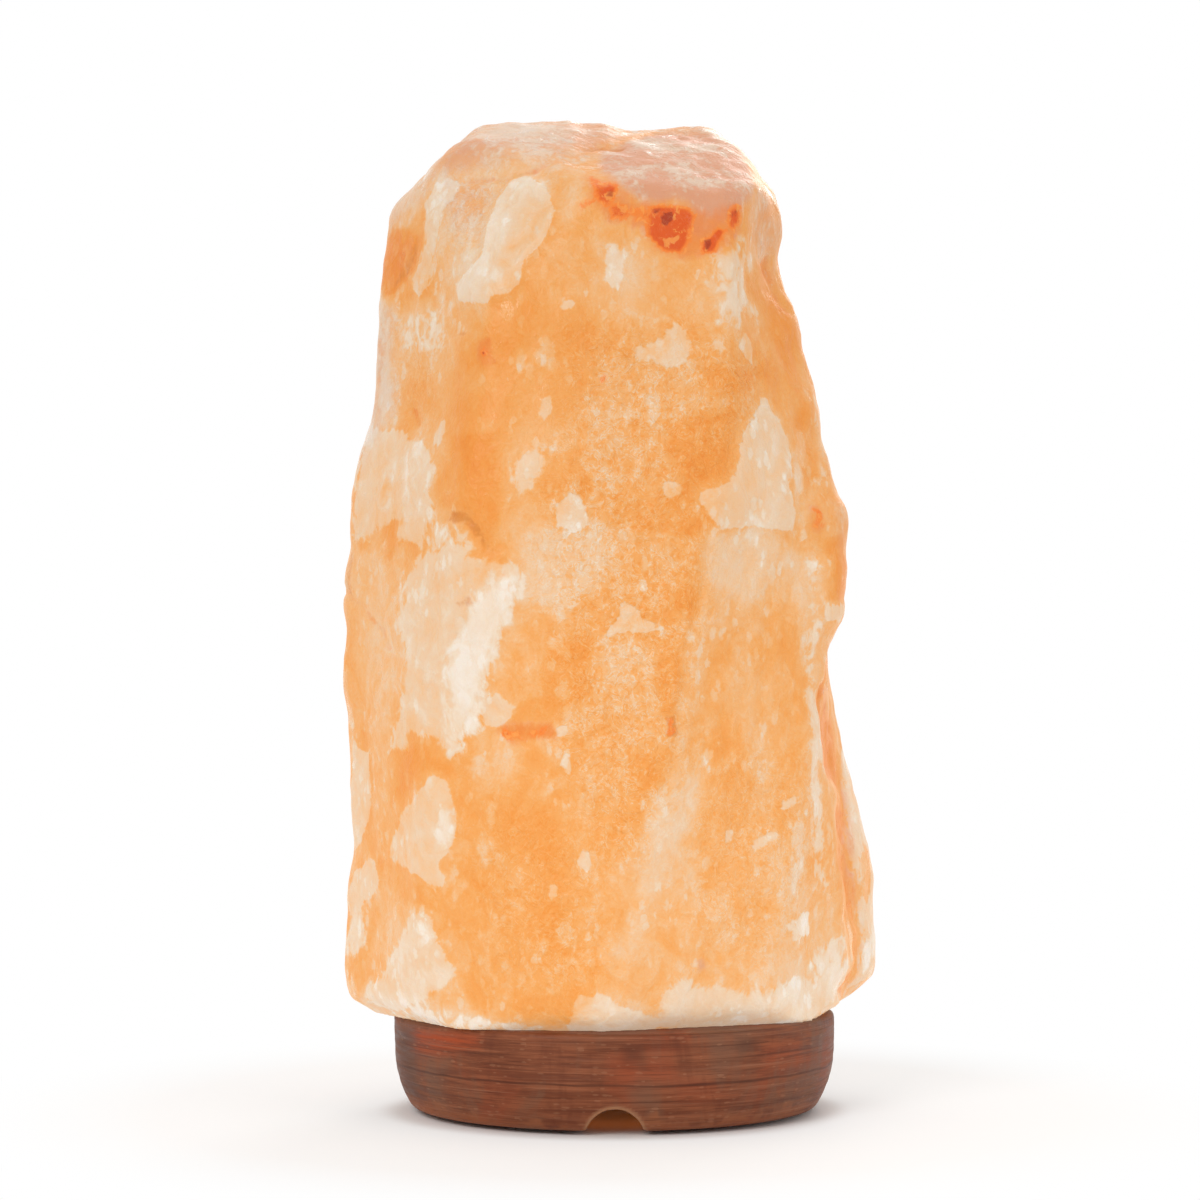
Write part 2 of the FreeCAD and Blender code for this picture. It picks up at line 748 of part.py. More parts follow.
def make_clip():
    """The spring clip: a flat ring with three legs, which bow out to the wall of the hole."""
    body = turned(
        "spring_clip",
        [
            (RING_INNER, SEAT),
            (RING_OUTER, SEAT),
            (RING_OUTER, f"{SEAT} + clip_thick"),
            (RING_INNER, f"{SEAT} + clip_thick"),
        ],
    )
    bend, flat, tip = f"({SEAT} + leg_bend)", f"({SEAT} + leg_bend + leg_flat)", f"({SEAT} + leg_rise)"
    inside = f"({LEG_REACH} - clip_thick)"
    sketch = sketch_on(body, "leg_section", "XZ_Plane")
    outline(
        sketch,
        [
            (f"{RING_OUTER} - leg_root", SEAT),
            (f"{RING_OUTER} + leg_heel", SEAT),
            (LEG_REACH, bend),
            (LEG_REACH, flat),
            (f"{LEG_REACH} - leg_lead_in", tip),
            (f"{inside} - leg_lead_in", tip),
            (inside, f"{flat} - leg_mitre"),
            (inside, f"{bend} + leg_mitre"),
            (f"{RING_OUTER} + leg_root", f"{SEAT} + clip_thick"),
            (f"{RING_OUTER} - leg_root", f"{SEAT} + clip_thick"),
        ],
    )
    leg = body.newObject("PartDesign::Pad", "leg")
    leg.Profile = sketch
    leg.Midplane = True
    leg.setExpression("Length", bound("leg_width"))
    body.Tip = leg
    around(body, "legs", leg, LEGS)
    return body


def make_centre_contact():
    """The leaf that the bulb's tip presses on: a riveted foot and a raised end under the tip."""
    body = new_body("centre_contact")
    low, high = WELL_FLOOR, f"({WELL_FLOOR} + contact_rise)"
    sketch = sketch_on(body, "contact_section", "XZ_Plane")
    outline(
        sketch,
        [
            (f"-{CONTACT_END}", low),
            (f"-{CONTACT_BEND} + contact_thick", low),
            ("-tip_radius / 3", high),
            ("tip_radius", high),
            ("tip_radius", f"{high} + contact_thick"),
            ("-tip_radius / 3 - contact_thick", f"{high} + contact_thick"),
            (f"-{CONTACT_BEND}", f"{low} + contact_thick"),
            (f"-{CONTACT_END}", f"{low} + contact_thick"),
        ],
    )
    leaf = body.newObject("PartDesign::Pad", "contact_leaf")
    leaf.Profile = sketch
    leaf.Midplane = True
    leaf.setExpression("Length", bound("contact_width"))
    body.Tip = leaf
    return pierce(body, "contact_rivet_way", "-live_rivet_at")


# Each terminal: the side of the axis that it lies on, where its rivet is and what the rivet clamps.
TERMINALS = {
    "live": (-1, "-live_rivet_at", "contact_thick"),
    "shell": (1, "shell_rivet_at", "shell_wall"),
}


def make_rivets():
    """Two rivets through the floor of the core, which tie the contacts to their terminals."""
    rivets = []
    bottom = f"({CORE_BOTTOM} - rivet_grip)"
    for name, (_, x, clamped) in TERMINALS.items():
        seat = f"({WELL_FLOOR} + {clamped})"
        shank = cylinder(f"{name}_shank", "rivet_radius", f"{seat} - {bottom}", x, z=bottom)
        head = cylinder(f"{name}_head", "rivet_head", "rivet_head_height", x, z=seat)
        rivets.append(fuse(f"{name}_rivet", [shank, head]))
    return group("contact_rivets", rivets)


BLOCK_BOTTOM = f"({CORE_BOTTOM} - block_height)"


def along_y(piece, x, y, z):
    """Lays a cylinder down, so that it runs from the front to the back."""
    piece.Placement.Rotation = FreeCAD.Rotation(Vector(1, 0, 0), -90)
    return place(piece, x, y, z)


def make_blocks():
    """Two brass terminal blocks under the core, each with a hole for its wire and one for its screw."""
    blocks = []
    front, lift = "(-block_depth / 2)", f"({BLOCK_BOTTOM} + block_screw_height)"
    for name, (side, rivet, _) in TERMINALS.items():
        x = f"({side} * block_spacing / 2)"
        left = f"{x} - block_width / 2"
        blank = box(f"{name}_blank", "block_width", "block_depth", "block_height", left, front, BLOCK_BOTTOM)
        grip = f"({CORE_BOTTOM} - rivet_grip)"
        rivet_hole = cylinder(f"{name}_grip", "rivet_radius + rivet_gap", "rivet_grip", rivet, z=grip)
        wire_hole = cylinder(
            f"{name}_wire_hole", "wire_hole_radius", "wire_hole_depth", x, "wire_hole_back", BLOCK_BOTTOM
        )
        thread = cylinder(f"{name}_thread", "block_screw_radius + block_screw_gap", "block_screw_length")
        along_y(thread, x, front, lift)
        taken_away = fuse(f"{name}_taken_away", [rivet_hole, wire_hole, thread])
        blocks.append(cut(f"{name}_block", blank, taken_away))
    return group("terminal_blocks", blocks)


def make_block_screws():
    """The screws that clamp the supply wires in the terminal blocks."""
    screws = []
    front, lift = "(-block_depth / 2)", f"({BLOCK_BOTTOM} + block_screw_height)"
    for name, (side, _, _) in TERMINALS.items():
        x = f"({side} * block_spacing / 2)"
        shank = cylinder(f"{name}_screw_shank", "block_screw_radius", "block_screw_length")
        along_y(shank, x, front, lift)
        head = cylinder(f"{name}_screw_head", "block_screw_head", "block_screw_head_height")
        along_y(head, x, f"{front} - block_screw_head_height", lift)
        screws.append(fuse(f"{name}_screw", [shank, head]))
    return group("terminal_screws", screws)


# ---------------------------------------------------------------------------------------------------
# The bulb
# ---------------------------------------------------------------------------------------------------


def make_tip():
    """The solder tip, the only part of the bulb that looks the same however far it has turned."""
    return turned(
        "bulb_contact",
        [
            ("0", TIP),
            ("tip_flat", TIP),
            ("tip_radius", f"{TIP} + tip_height / 2"),
            ("tip_radius", f"{TIP} + tip_height"),
            ("0", f"{TIP} + tip_height"),
        ],
    )


def make_insulator():
    """The black glass cone between the tip and the cap."""
    collar = "(cap_floor_radius - insulator_gap)"
    return turned(
        "bulb_insulator",
        [
            ("0", f"{TIP} + tip_height"),
            ("tip_radius + insulator_ledge", f"{TIP} + tip_height"),
            (collar, CAP_FLOOR),
            (collar, f"{CAP_FLOOR} + insulator_grip"),
            ("0", f"{CAP_FLOOR} + insulator_grip"),
        ],
    )


def make_cap():
    """The metal cap: a thin shell with its floor turned in to hold the insulator."""
    inner = "(cap_radius - cap_wall)"
    return turned(
        "bulb_cap",
        [
            ("cap_floor_radius", CAP_FLOOR),
            ("cap_radius", f"{CAP_FLOOR} + cap_bevel"),
            ("cap_radius", CAP_TOP),
            (inner, CAP_TOP),
            (inner, f"{CAP_FLOOR} + cap_bevel + cap_wall / 2"),
            ("cap_floor_radius", f"{CAP_FLOOR} + cap_wall"),
        ],
    )


def make_glass():
    """The envelope: a straight neck in the cap, which flares tangent into a ball."""
    collar = f"({CAP_TOP} + neck_proud)"
    middle = f"({BULB_TOP} - bulb_radius)"
    rise = f"({middle} - {collar})"
    flare = f"((neck_radius ^ 2 + {rise} ^ 2 - bulb_radius ^ 2) / (2 * (bulb_radius - neck_radius)))"
    across = f"((neck_radius + {flare}) / ({flare} + bulb_radius))"
    down = f"({rise} / ({flare} + bulb_radius))"
    inner_neck, inner_ball = "(neck_radius - glass_wall)", "(bulb_radius - glass_wall)"
    return turned(
        "bulb_glass",
        [
            ("neck_radius", NECK),
            ("neck_radius", collar, flare, LEFT),
            (f"bulb_radius * {across}", f"{middle} - bulb_radius * {down}", "bulb_radius", RIGHT_ON_AXIS),
            ("0", BULB_TOP),
            ("0", f"{BULB_TOP} - glass_wall", inner_ball, LEFT_ON_AXIS),
            (f"{inner_ball} * {across}", f"{middle} - {inner_ball} * {down}", f"{flare} + glass_wall", RIGHT),
            (inner_neck, collar),
            (inner_neck, NECK),
        ],
    )


def make_stem():
    """The glass mount: a flare sealed to the neck, a rod and a button that holds the wires."""
    seal = "(neck_radius - glass_wall - seal_gap)"
    return turned(
        "bulb_stem",
        [
            ("0", NECK),
            (seal, NECK),
            (seal, f"{NECK} + glass_wall"),
            ("stem_radius", f"{CAP_TOP} + stem_radius"),
            ("stem_radius", f"{STEM_TOP} - stem_button"),
            ("stem_button", f"{STEM_TOP} - stem_button / 2"),
            ("stem_button", STEM_TOP),
            ("0", STEM_TOP),
        ],
    )


def make_leads():
    """The two wires that carry the filament, from the button up and out to its ends."""
    mitred = 1
    leads = []
    radius = size("lead_radius")
    heights = [size(f"{STEM_TOP} + {rise}") for rise in ("0", "lead_start", "lead_bend", "lead_rise")]
    spreads = [size(spread) for spread in ("lead_root", "lead_root", "lead_spread", "lead_spread")]
    for name, side in (("left_lead", -1), ("right_lead", 1)):
        points = [Vector(side * spread, 0, height) for spread, height in zip(spreads, heights)]
        section = Part.Wire(Part.Circle(points[0], Vector(0, 0, 1), radius).toShape())
        lead = doc.addObject("Part::Feature", name)
        lead.Shape = Part.makePolygon(points).makePipeShell([section], True, False, mitred)
        leads.append(lead)
    return group("lead_wires", leads)


def make_support():
    """The wire that holds up the middle of the filament."""
    height = "lead_rise - filament_sag - filament_radius * 2"
    return cylinder("support_wire", "support_radius", height, z=STEM_TOP)


def make_filament():
    """The filament, an arc that hangs from lead to lead over its support."""
    half = size("lead_spread - lead_radius - filament_radius")
    top, sag = size(f"{FILAMENT} - filament_radius"), size("filament_sag")
    curve = Part.Arc(Vector(-half, 0, top), Vector(0, 0, top - sag), Vector(half, 0, top))
    tangent = curve.tangent(curve.FirstParameter)[0]
    section = Part.Wire(Part.Circle(Vector(-half, 0, top), tangent, size("filament_radius")).toShape())
    filament = doc.addObject("Part::Feature", "filament")
    filament.Shape = Part.Wire(curve.toShape()).makePipeShell([section], True, True)
    return filament


# ---------------------------------------------------------------------------------------------------
# Build, check and write
# ---------------------------------------------------------------------------------------------------

MAKERS = (
    make_rock,
    make_base,
    make_pads,
    make_screws,
    make_plugs,
    make_holder_cap,
    make_sleeve,
    make_core,
    make_shell,
    make_clip,
    make_centre_contact,
    make_rivets,
    make_blocks,
    make_block_screws,
    make_tip,
    make_insulator,
    make_cap,
    make_glass,
    make_stem,
    make_leads,
    make_support,
    make_filament,
)


def main():
    nodes = [maker() for maker in MAKERS]
    doc.recompute()
    faulty = [o.Name for o in doc.Objects if "Invalid" in o.State or "Error" in o.State]
    if faulty:
        raise RuntimeError(f"these objects failed: {faulty}")
    for node in nodes:
        node.Label = node.Name
        if node.Shape.isNull() or not node.Shape.isValid() or not node.Shape.Solids:
            raise RuntimeError(f"{node.Label} has no valid solid")
    os.makedirs(OUT_FOLDER, exist_ok=True)
    for node in nodes:
        node.Shape.exportStep(os.path.join(OUT_FOLDER, f"{node.Label}.step"))
        print(f"{node.Label}: {len(node.Shape.Solids)} solid(s), {node.Shape.Volume / 1000:.2f} cm3")


main()
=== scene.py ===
"""The looks of the salt crystal lamp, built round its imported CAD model.

Metres, in the CAD model's frame: +Z up, the front along -Y, the origin under the middle of the base.
Outlines and marks seen on the front of the rock are in pixels of the 1200 x 1200 photograph. They are
laid on the rock's surface once, as colours and relief that belong to it, and stay there in any view.
"""

import functools
import math

import bmesh
import bpy
import numpy as np
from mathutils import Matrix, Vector, noise


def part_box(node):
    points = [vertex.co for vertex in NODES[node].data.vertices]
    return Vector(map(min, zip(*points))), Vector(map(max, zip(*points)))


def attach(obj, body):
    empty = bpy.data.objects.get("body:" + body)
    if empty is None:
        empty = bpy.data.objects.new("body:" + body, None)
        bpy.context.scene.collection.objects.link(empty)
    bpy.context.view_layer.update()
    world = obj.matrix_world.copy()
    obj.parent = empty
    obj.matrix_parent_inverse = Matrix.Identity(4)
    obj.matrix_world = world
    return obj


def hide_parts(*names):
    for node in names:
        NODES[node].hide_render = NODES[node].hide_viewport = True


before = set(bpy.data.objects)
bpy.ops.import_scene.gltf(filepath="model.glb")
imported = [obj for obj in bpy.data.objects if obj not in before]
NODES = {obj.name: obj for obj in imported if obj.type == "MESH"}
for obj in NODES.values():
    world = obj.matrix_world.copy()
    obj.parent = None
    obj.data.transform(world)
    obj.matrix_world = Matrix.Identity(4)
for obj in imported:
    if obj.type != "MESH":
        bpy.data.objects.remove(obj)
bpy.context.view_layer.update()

MM = 0.001

# --- Places, from the frame ---

WOOD_LOW, WOOD_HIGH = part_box("wooden_base")
ROCK_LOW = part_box("salt_crystal")[0]
BORE_RADIUS = 25 * MM
BORE_TOP = ROCK_LOW.z + 100 * MM

# The photograph's camera: level, in front of the lamp, as far away as the perspective of the base says
PHOTO_WIDTH = 1200
PHOTO_MIDDLE = PHOTO_WIDTH / 2
CAMERA = Vector((-3.7, -1010.0, 134.0)) * MM
FOCAL_PIXELS = 3832.0
SENSOR = 36.0


# --- Small helpers ---

def smooth_step(low, high, values):
    """0 below low, 1 above high, with a smooth rise between them."""
    t = np.clip((values - low) / (high - low), 0.0, 1.0)
    return t * t * (3 - 2 * t)


def link_object(name, data):
    piece = bpy.data.objects.new(name, data)
    bpy.context.scene.collection.objects.link(piece)
    return piece


def coordinates(mesh, attribute="co"):
    """The vertices' places or normals as an array."""
    values = np.empty(len(mesh.vertices) * 3, np.float32)
    mesh.vertices.foreach_get(attribute, values)
    return values.reshape(-1, 3).astype(float)


def set_coordinates(mesh, places):
    mesh.vertices.foreach_set("co", places.astype(np.float32).ravel())
    mesh.update()


def shade_smooth(mesh):
    mesh.polygons.foreach_set("use_smooth", np.ones(len(mesh.polygons), bool))
    mesh.update()


def copied(name, node):
    """A piece with a copy of a CAD node's mesh, whose doubled points are joined."""
    mesh = NODES[node].data.copy()
    mesh.name = name
    piece = link_object(name, mesh)
    piece.modifiers.new("weld", "WELD").merge_threshold = 0.002 * MM
    return piece


def bake_modifiers(piece):
    """Makes the piece's modifiers part of its mesh."""
    evaluated = piece.evaluated_get(bpy.context.evaluated_depsgraph_get())
    mesh = bpy.data.meshes.new_from_object(evaluated)
    piece.modifiers.clear()
    piece.data = mesh


def remeshed(name, node, voxel):
    """A finer copy of a CAD node's mesh, in even quads."""
    piece = copied(name, node)
    grid = piece.modifiers.new("remesh", "REMESH")
    grid.mode, grid.voxel_size = "VOXEL", voxel
    bake_modifiers(piece)
    piece.data.materials.clear()
    shade_smooth(piece.data)
    return piece


def relaxed(mesh, places, rounds, weights):
    """The places after some rounds of moving each vertex towards the mean of its neighbours."""
    ends = np.empty(len(mesh.edges) * 2, np.int32)
    mesh.edges.foreach_get("vertices", ends)
    one, other = ends.reshape(-1, 2).T
    count = np.bincount(one, minlength=len(places)) + np.bincount(other, minlength=len(places))
    for _ in range(rounds):
        total = np.empty_like(places)
        for axis in range(3):
            column = places[:, axis]
            total[:, axis] = np.bincount(one, column[other], len(places))
            total[:, axis] += np.bincount(other, column[one], len(places))
        mean = total / count[:, None]
        places = places + (mean - places) * weights[:, None]
    return places


def noise_places(places, size, seed, stretch):
    """The places in units of the noise's lumps, far from those of another seed."""
    shift = Vector((seed * 7.13, seed * 3.71, seed * 5.39))
    return [Vector(p) + shift for p in places / (np.array(stretch) * size)]


def noise_field(places, size, seed, stretch=(1, 1, 1), octaves=1):
    """Smooth noise from about -1 to 1, whose lumps are about size metres across."""
    spots = noise_places(places, size, seed, stretch)
    if octaves == 1:
        return np.array([noise.noise(spot) for spot in spots])
    return np.array([noise.fractal(spot, 1.0, 2.0, octaves) for spot in spots])


def crystal_field(places, size, seed, stretch=(1, 1, 1)):
    """0 at the joints between crystals, and up to about 1 in their middles."""
    gaps = np.array([noise.voronoi(spot)[0][:2] for spot in noise_places(places, size, seed, stretch)])
    return gaps[:, 1] - gaps[:, 0]


def store(mesh, name, values):
    """Keeps one number per vertex, for the materials to read."""
    attribute = mesh.attributes.new(name, "FLOAT", "POINT")
    attribute.data.foreach_set("value", values.astype(np.float32))


# --- Materials ---

class Nodes:
    """Short calls that add nodes to a tree."""

    def __init__(self, tree):
        self.tree = tree

    def feed(self, socket, value):
        if isinstance(value, bpy.types.NodeSocket):
            self.tree.links.new(value, socket)
        elif value is not None:
            colour = socket.type == "RGBA" and len(value) == 3
            socket.default_value = (*value, 1.0) if colour else value

    def made(self, kind, inputs=(), output=0, **settings):
        """One output of a new node, whose inputs are given by their names or numbers."""
        node = self.tree.nodes.new(kind)
        for key, value in settings.items():
            setattr(node, key, value)
        for socket, value in dict(inputs).items():
            self.feed(node.inputs[socket], value)
        return node.outputs[output]

    def math(self, operation, a, b=None, c=None, clamp=False):
        return self.made("ShaderNodeMath", enumerate((a, b, c)), operation=operation, use_clamp=clamp)

    def times(self, a, b):
        return self.math("MULTIPLY", a, b)

    def from_middle(self, value, middle=0.5):
        return self.math("SUBTRACT", value, middle)

    def vector(self, operation, *values):
        return self.made("ShaderNodeVectorMath", enumerate(values), operation=operation)

    def mixed(self, share, one, other):
        """Two whole shaders, mixed."""
        return self.made("ShaderNodeMixShader", enumerate((share, one, other)))


class Shade(Nodes):
    """A material and short calls for the nodes that it is made of."""

    def __init__(self, name, **fixed):
        self.material = bpy.data.materials.new(name)
        self.material.use_nodes = True
        super().__init__(self.material.node_tree)
        self.shader = self.tree.nodes["Principled BSDF"]
        self.place = self.made("ShaderNodeTexCoord", output="Object")
        for key, value in fixed.items():
            self.set(key.replace("_", " "), value)

    def set(self, socket, value):
        self.feed(self.shader.inputs[socket], value)

    def stretched(self, scale, offset=(0, 0, 0)):
        """The place on the piece, scaled by axis."""
        return self.made("ShaderNodeMapping", {"Vector": self.place, "Scale": scale, "Location": offset})

    def noise(self, scale, detail=2.0, rough=0.5, distort=0.0, vector=None):
        inputs = {"Scale": scale, "Detail": detail, "Roughness": rough, "Distortion": distort}
        return self.made("ShaderNodeTexNoise", {"Vector": vector or self.place, **inputs}, "Fac")

    def warped(self, amount, scale, stretch=(1, 1, 1)):
        """The place on the piece, pushed about by noise and then stretched."""
        push = self.made("ShaderNodeTexNoise", {"Vector": self.place, "Scale": scale}, "Color")
        centred = self.vector("SUBTRACT", push, (0.5, 0.5, 0.5))
        pushed = self.vector("MULTIPLY_ADD", centred, (amount,) * 3, self.place)
        return self.vector("MULTIPLY", pushed, stretch)

    def flecks(self, scale, size, share, vector):
        """Scattered specks of many sizes: scale cells to the metre, of which a share holds one."""
        cell = self.made("ShaderNodeTexVoronoi", {"Vector": vector, "Scale": scale}).node.outputs
        chance = self.made("ShaderNodeSeparateColor", {0: cell["Color"]}).node.outputs
        grown = self.math("DIVIDE", cell["Distance"], self.math("ADD", chance[0], 0.25))
        shown = self.ramp(chance[1], 1 - share, 1.03 - share)
        return self.times(self.ramp(grown, size * 1.4, size * 0.7), shown)

    def attribute(self, name):
        return self.made("ShaderNodeAttribute", output="Fac", attribute_name=name)

    def ramp(self, value, low, high, out_low=0.0, out_high=1.0):
        """A smooth rise from out_low to out_high, as the value goes from low to high."""
        ends = (value, low, high, out_low, out_high)
        return self.made("ShaderNodeMapRange", enumerate(ends), interpolation_type="SMOOTHSTEP")

    def blend(self, share, one, other, kind="MIX"):
        inputs = {0: share, 6: one, 7: other}
        return self.made("ShaderNodeMix", inputs, 2, data_type="RGBA", blend_type=kind)

    def painted(self, colour, *coats):
        """The colour under several coats, each given as its share and its colour."""
        for share, paint in coats:
            colour = self.blend(share, colour, paint)
        return colour

    def height(self, axis="Z"):
        return self.made("ShaderNodeSeparateXYZ", {0: self.place}, axis)

    def bump(self, height, strength, depth, under=None):
        inputs = {"Strength": strength, "Distance": depth, "Height": height, "Normal": under}
        return self.made("ShaderNodeBump", inputs, "Normal")


# --- The rock: where its marks are ---

# Marks on the front of the rock, each (strength, softness of its edge in pixels, then its outline as
# x, y, x, y and so on). Pale marks are frosted salt, and deep ones are clear salt that the light comes
# through.
PALE = {
    "leaf": (1.0, 5, 532, 176, 546, 190, 554, 208, 553, 222, 541, 242, 525, 262, 521, 280, 508, 293,
        495, 294, 484, 304, 460, 304, 457, 288, 470, 270, 480, 256, 482, 240, 492, 222, 505, 198, 516, 182),
    "strip": (1.0, 6, 436, 184, 452, 180, 464, 186, 452, 200, 442, 208, 440, 224, 434, 236, 434, 262,
        430, 284, 421, 299, 413, 288, 414, 274, 422, 262, 426, 246, 422, 226, 422, 208, 430, 196),
    "under_strip": (0.55, 14, 392, 312, 440, 306, 452, 340, 446, 360, 410, 356, 392, 344),
    "left_field": (0.95, 12, 366, 430, 400, 432, 428, 446, 434, 470, 431, 520, 428, 545, 398, 545, 404, 520,
        386, 526, 368, 545, 352, 535, 355, 480, 361, 452),
    "middle_field": (0.85, 16, 418, 552, 448, 548, 480, 556, 516, 562, 526, 590, 512, 620, 500, 650,
        490, 690, 480, 720, 466, 748, 452, 762, 438, 746, 430, 740, 412, 735, 406, 750, 390, 755, 392, 730,
        404, 700, 410, 660, 400, 625, 404, 585),
    "middle_top": (0.6, 16, 436, 524, 470, 530, 480, 552, 440, 556, 420, 548),
    "dome": (0.9, 6, 568, 493, 582, 495, 586, 508, 588, 524, 572, 528, 552, 526, 548, 514, 558, 504),
    "dome_left": (0.75, 14, 512, 462, 530, 452, 546, 446, 542, 470, 534, 492, 522, 498, 508, 482),
    "oval": (0.95, 5, 658, 486, 668, 482, 680, 486, 679, 495, 668, 499, 660, 494),
    "triangle": (0.95, 5, 624, 597, 632, 603, 645, 616, 668, 626, 640, 633, 615, 634, 602, 641, 606, 628,
        616, 616),
    "right_patch": (0.95, 6, 762, 402, 770, 410, 778, 432, 788, 458, 792, 500, 794, 530, 760, 528, 720, 527,
        704, 510, 699, 491, 722, 486, 734, 474, 742, 460, 742, 435, 752, 420),
    "right_spur": (0.9, 5, 758, 398, 766, 394, 770, 408, 762, 418, 756, 410),
    "brow_field": (0.7, 26, 700, 244, 750, 232, 754, 300, 744, 330, 716, 326, 706, 290),
    "brow_mark": (0.8, 8, 668, 320, 686, 322, 695, 345, 688, 364, 672, 368, 648, 366, 636, 360, 634, 346,
        650, 338),
    "brow_drop": (0.75, 7, 606, 244, 620, 242, 628, 256, 622, 276, 616, 294, 606, 280),
    "brow_spot_1": (0.95, 5, 742, 334, 750, 334, 756, 348, 752, 362, 742, 358, 738, 346),
    "brow_spot_2": (0.8, 5, 714, 342, 722, 340, 728, 350, 720, 358, 712, 352),
    "middle_spot": (0.85, 5, 563, 303, 572, 298, 578, 303, 570, 311, 562, 311),
    "orange_spot_1": (0.7, 6, 540, 400, 550, 396, 554, 410, 546, 424, 538, 416),
    "orange_spot_2": (0.8, 4, 436, 424, 444, 420, 446, 432, 438, 448, 434, 440),
    "rim_chip": (0.9, 5, 820, 603, 840, 602, 836, 622, 822, 620),
    "rim_strip": (0.75, 16, 808, 600, 818, 610, 816, 650, 812, 680, 828, 700, 830, 745, 824, 800, 828, 850,
        826, 890, 814, 880, 814, 800, 808, 740, 802, 690, 803, 640),
    "rim_low": (0.7, 12, 800, 560, 818, 556, 818, 590, 806, 594),
    "bead_1": (0.95, 4, 580, 848, 587, 846, 591, 860, 587, 874, 580, 872, 577, 862),
    "bead_2": (0.85, 4, 564, 756, 572, 754, 575, 768, 570, 776, 563, 768),
    "bead_3": (0.95, 4, 555, 728, 564, 726, 568, 732, 562, 737, 555, 735),
    "bead_4": (0.8, 4, 551, 884, 556, 882, 557, 896, 552, 904, 549, 896),
    "bead_5": (0.8, 4, 722, 830, 732, 828, 734, 842, 726, 846),
    "smear_1": (0.7, 6, 752, 842, 770, 834, 786, 834, 776, 842, 756, 852),
    # A painted glint
    "painted_glint": (0.8, 5, 774, 812, 782, 798, 796, 794, 798, 802, 786, 812),
    "tooth": (1.0, 4, 800, 914, 812, 912, 810, 934, 800, 934, 794, 926),
    "tooth_back": (0.8, 5, 788, 924, 796, 912, 798, 938, 792, 942),
    "knuckle": (0.85, 6, 480, 700, 500, 692, 516, 704, 512, 718, 498, 727, 484, 728),
    "edge_patch_1": (0.95, 6, 350, 738, 364, 754, 371, 790, 370, 812, 360, 842, 350, 850, 346, 790),
    "edge_patch_2": (0.9, 6, 368, 860, 378, 872, 377, 890, 368, 900, 352, 920, 346, 900, 352, 872),
    "edge_patch_3": (0.75, 10, 350, 915, 362, 912, 366, 935, 358, 956, 346, 956),
    "low_patch_1": (0.95, 6, 430, 775, 448, 780, 456, 800, 457, 835, 448, 852, 438, 864, 444, 880, 434, 893,
        425, 880, 402, 868, 391, 860, 390, 845, 396, 825, 404, 808, 420, 794),
    "low_patch_2": (0.85, 12, 410, 912, 430, 914, 438, 930, 446, 950, 458, 978, 440, 990, 420, 1004,
        398, 1014, 374, 1008, 366, 992, 384, 965, 396, 945, 404, 930),
    "hem_left": (0.6, 12, 374, 1006, 420, 1004, 480, 1016, 540, 1020, 560, 1034, 420, 1034, 380, 1020),
    "hem_middle": (0.95, 7, 578, 994, 600, 995, 622, 1008, 655, 1016, 668, 1028, 640, 1036, 566, 1032,
        574, 1010),
    "hem_right": (0.85, 18, 680, 980, 740, 990, 800, 980, 846, 960, 844, 1010, 800, 1030, 740, 1040,
        660, 1036, 650, 1012),
    "toe_corner": (0.6, 12, 806, 960, 846, 930, 850, 990, 820, 1010),
    "lobe": (0.85, 8, 852, 796, 866, 830, 874, 880, 872, 915, 884, 950, 876, 990, 858, 1004, 862, 960,
        868, 920, 856, 880, 849, 840),
}

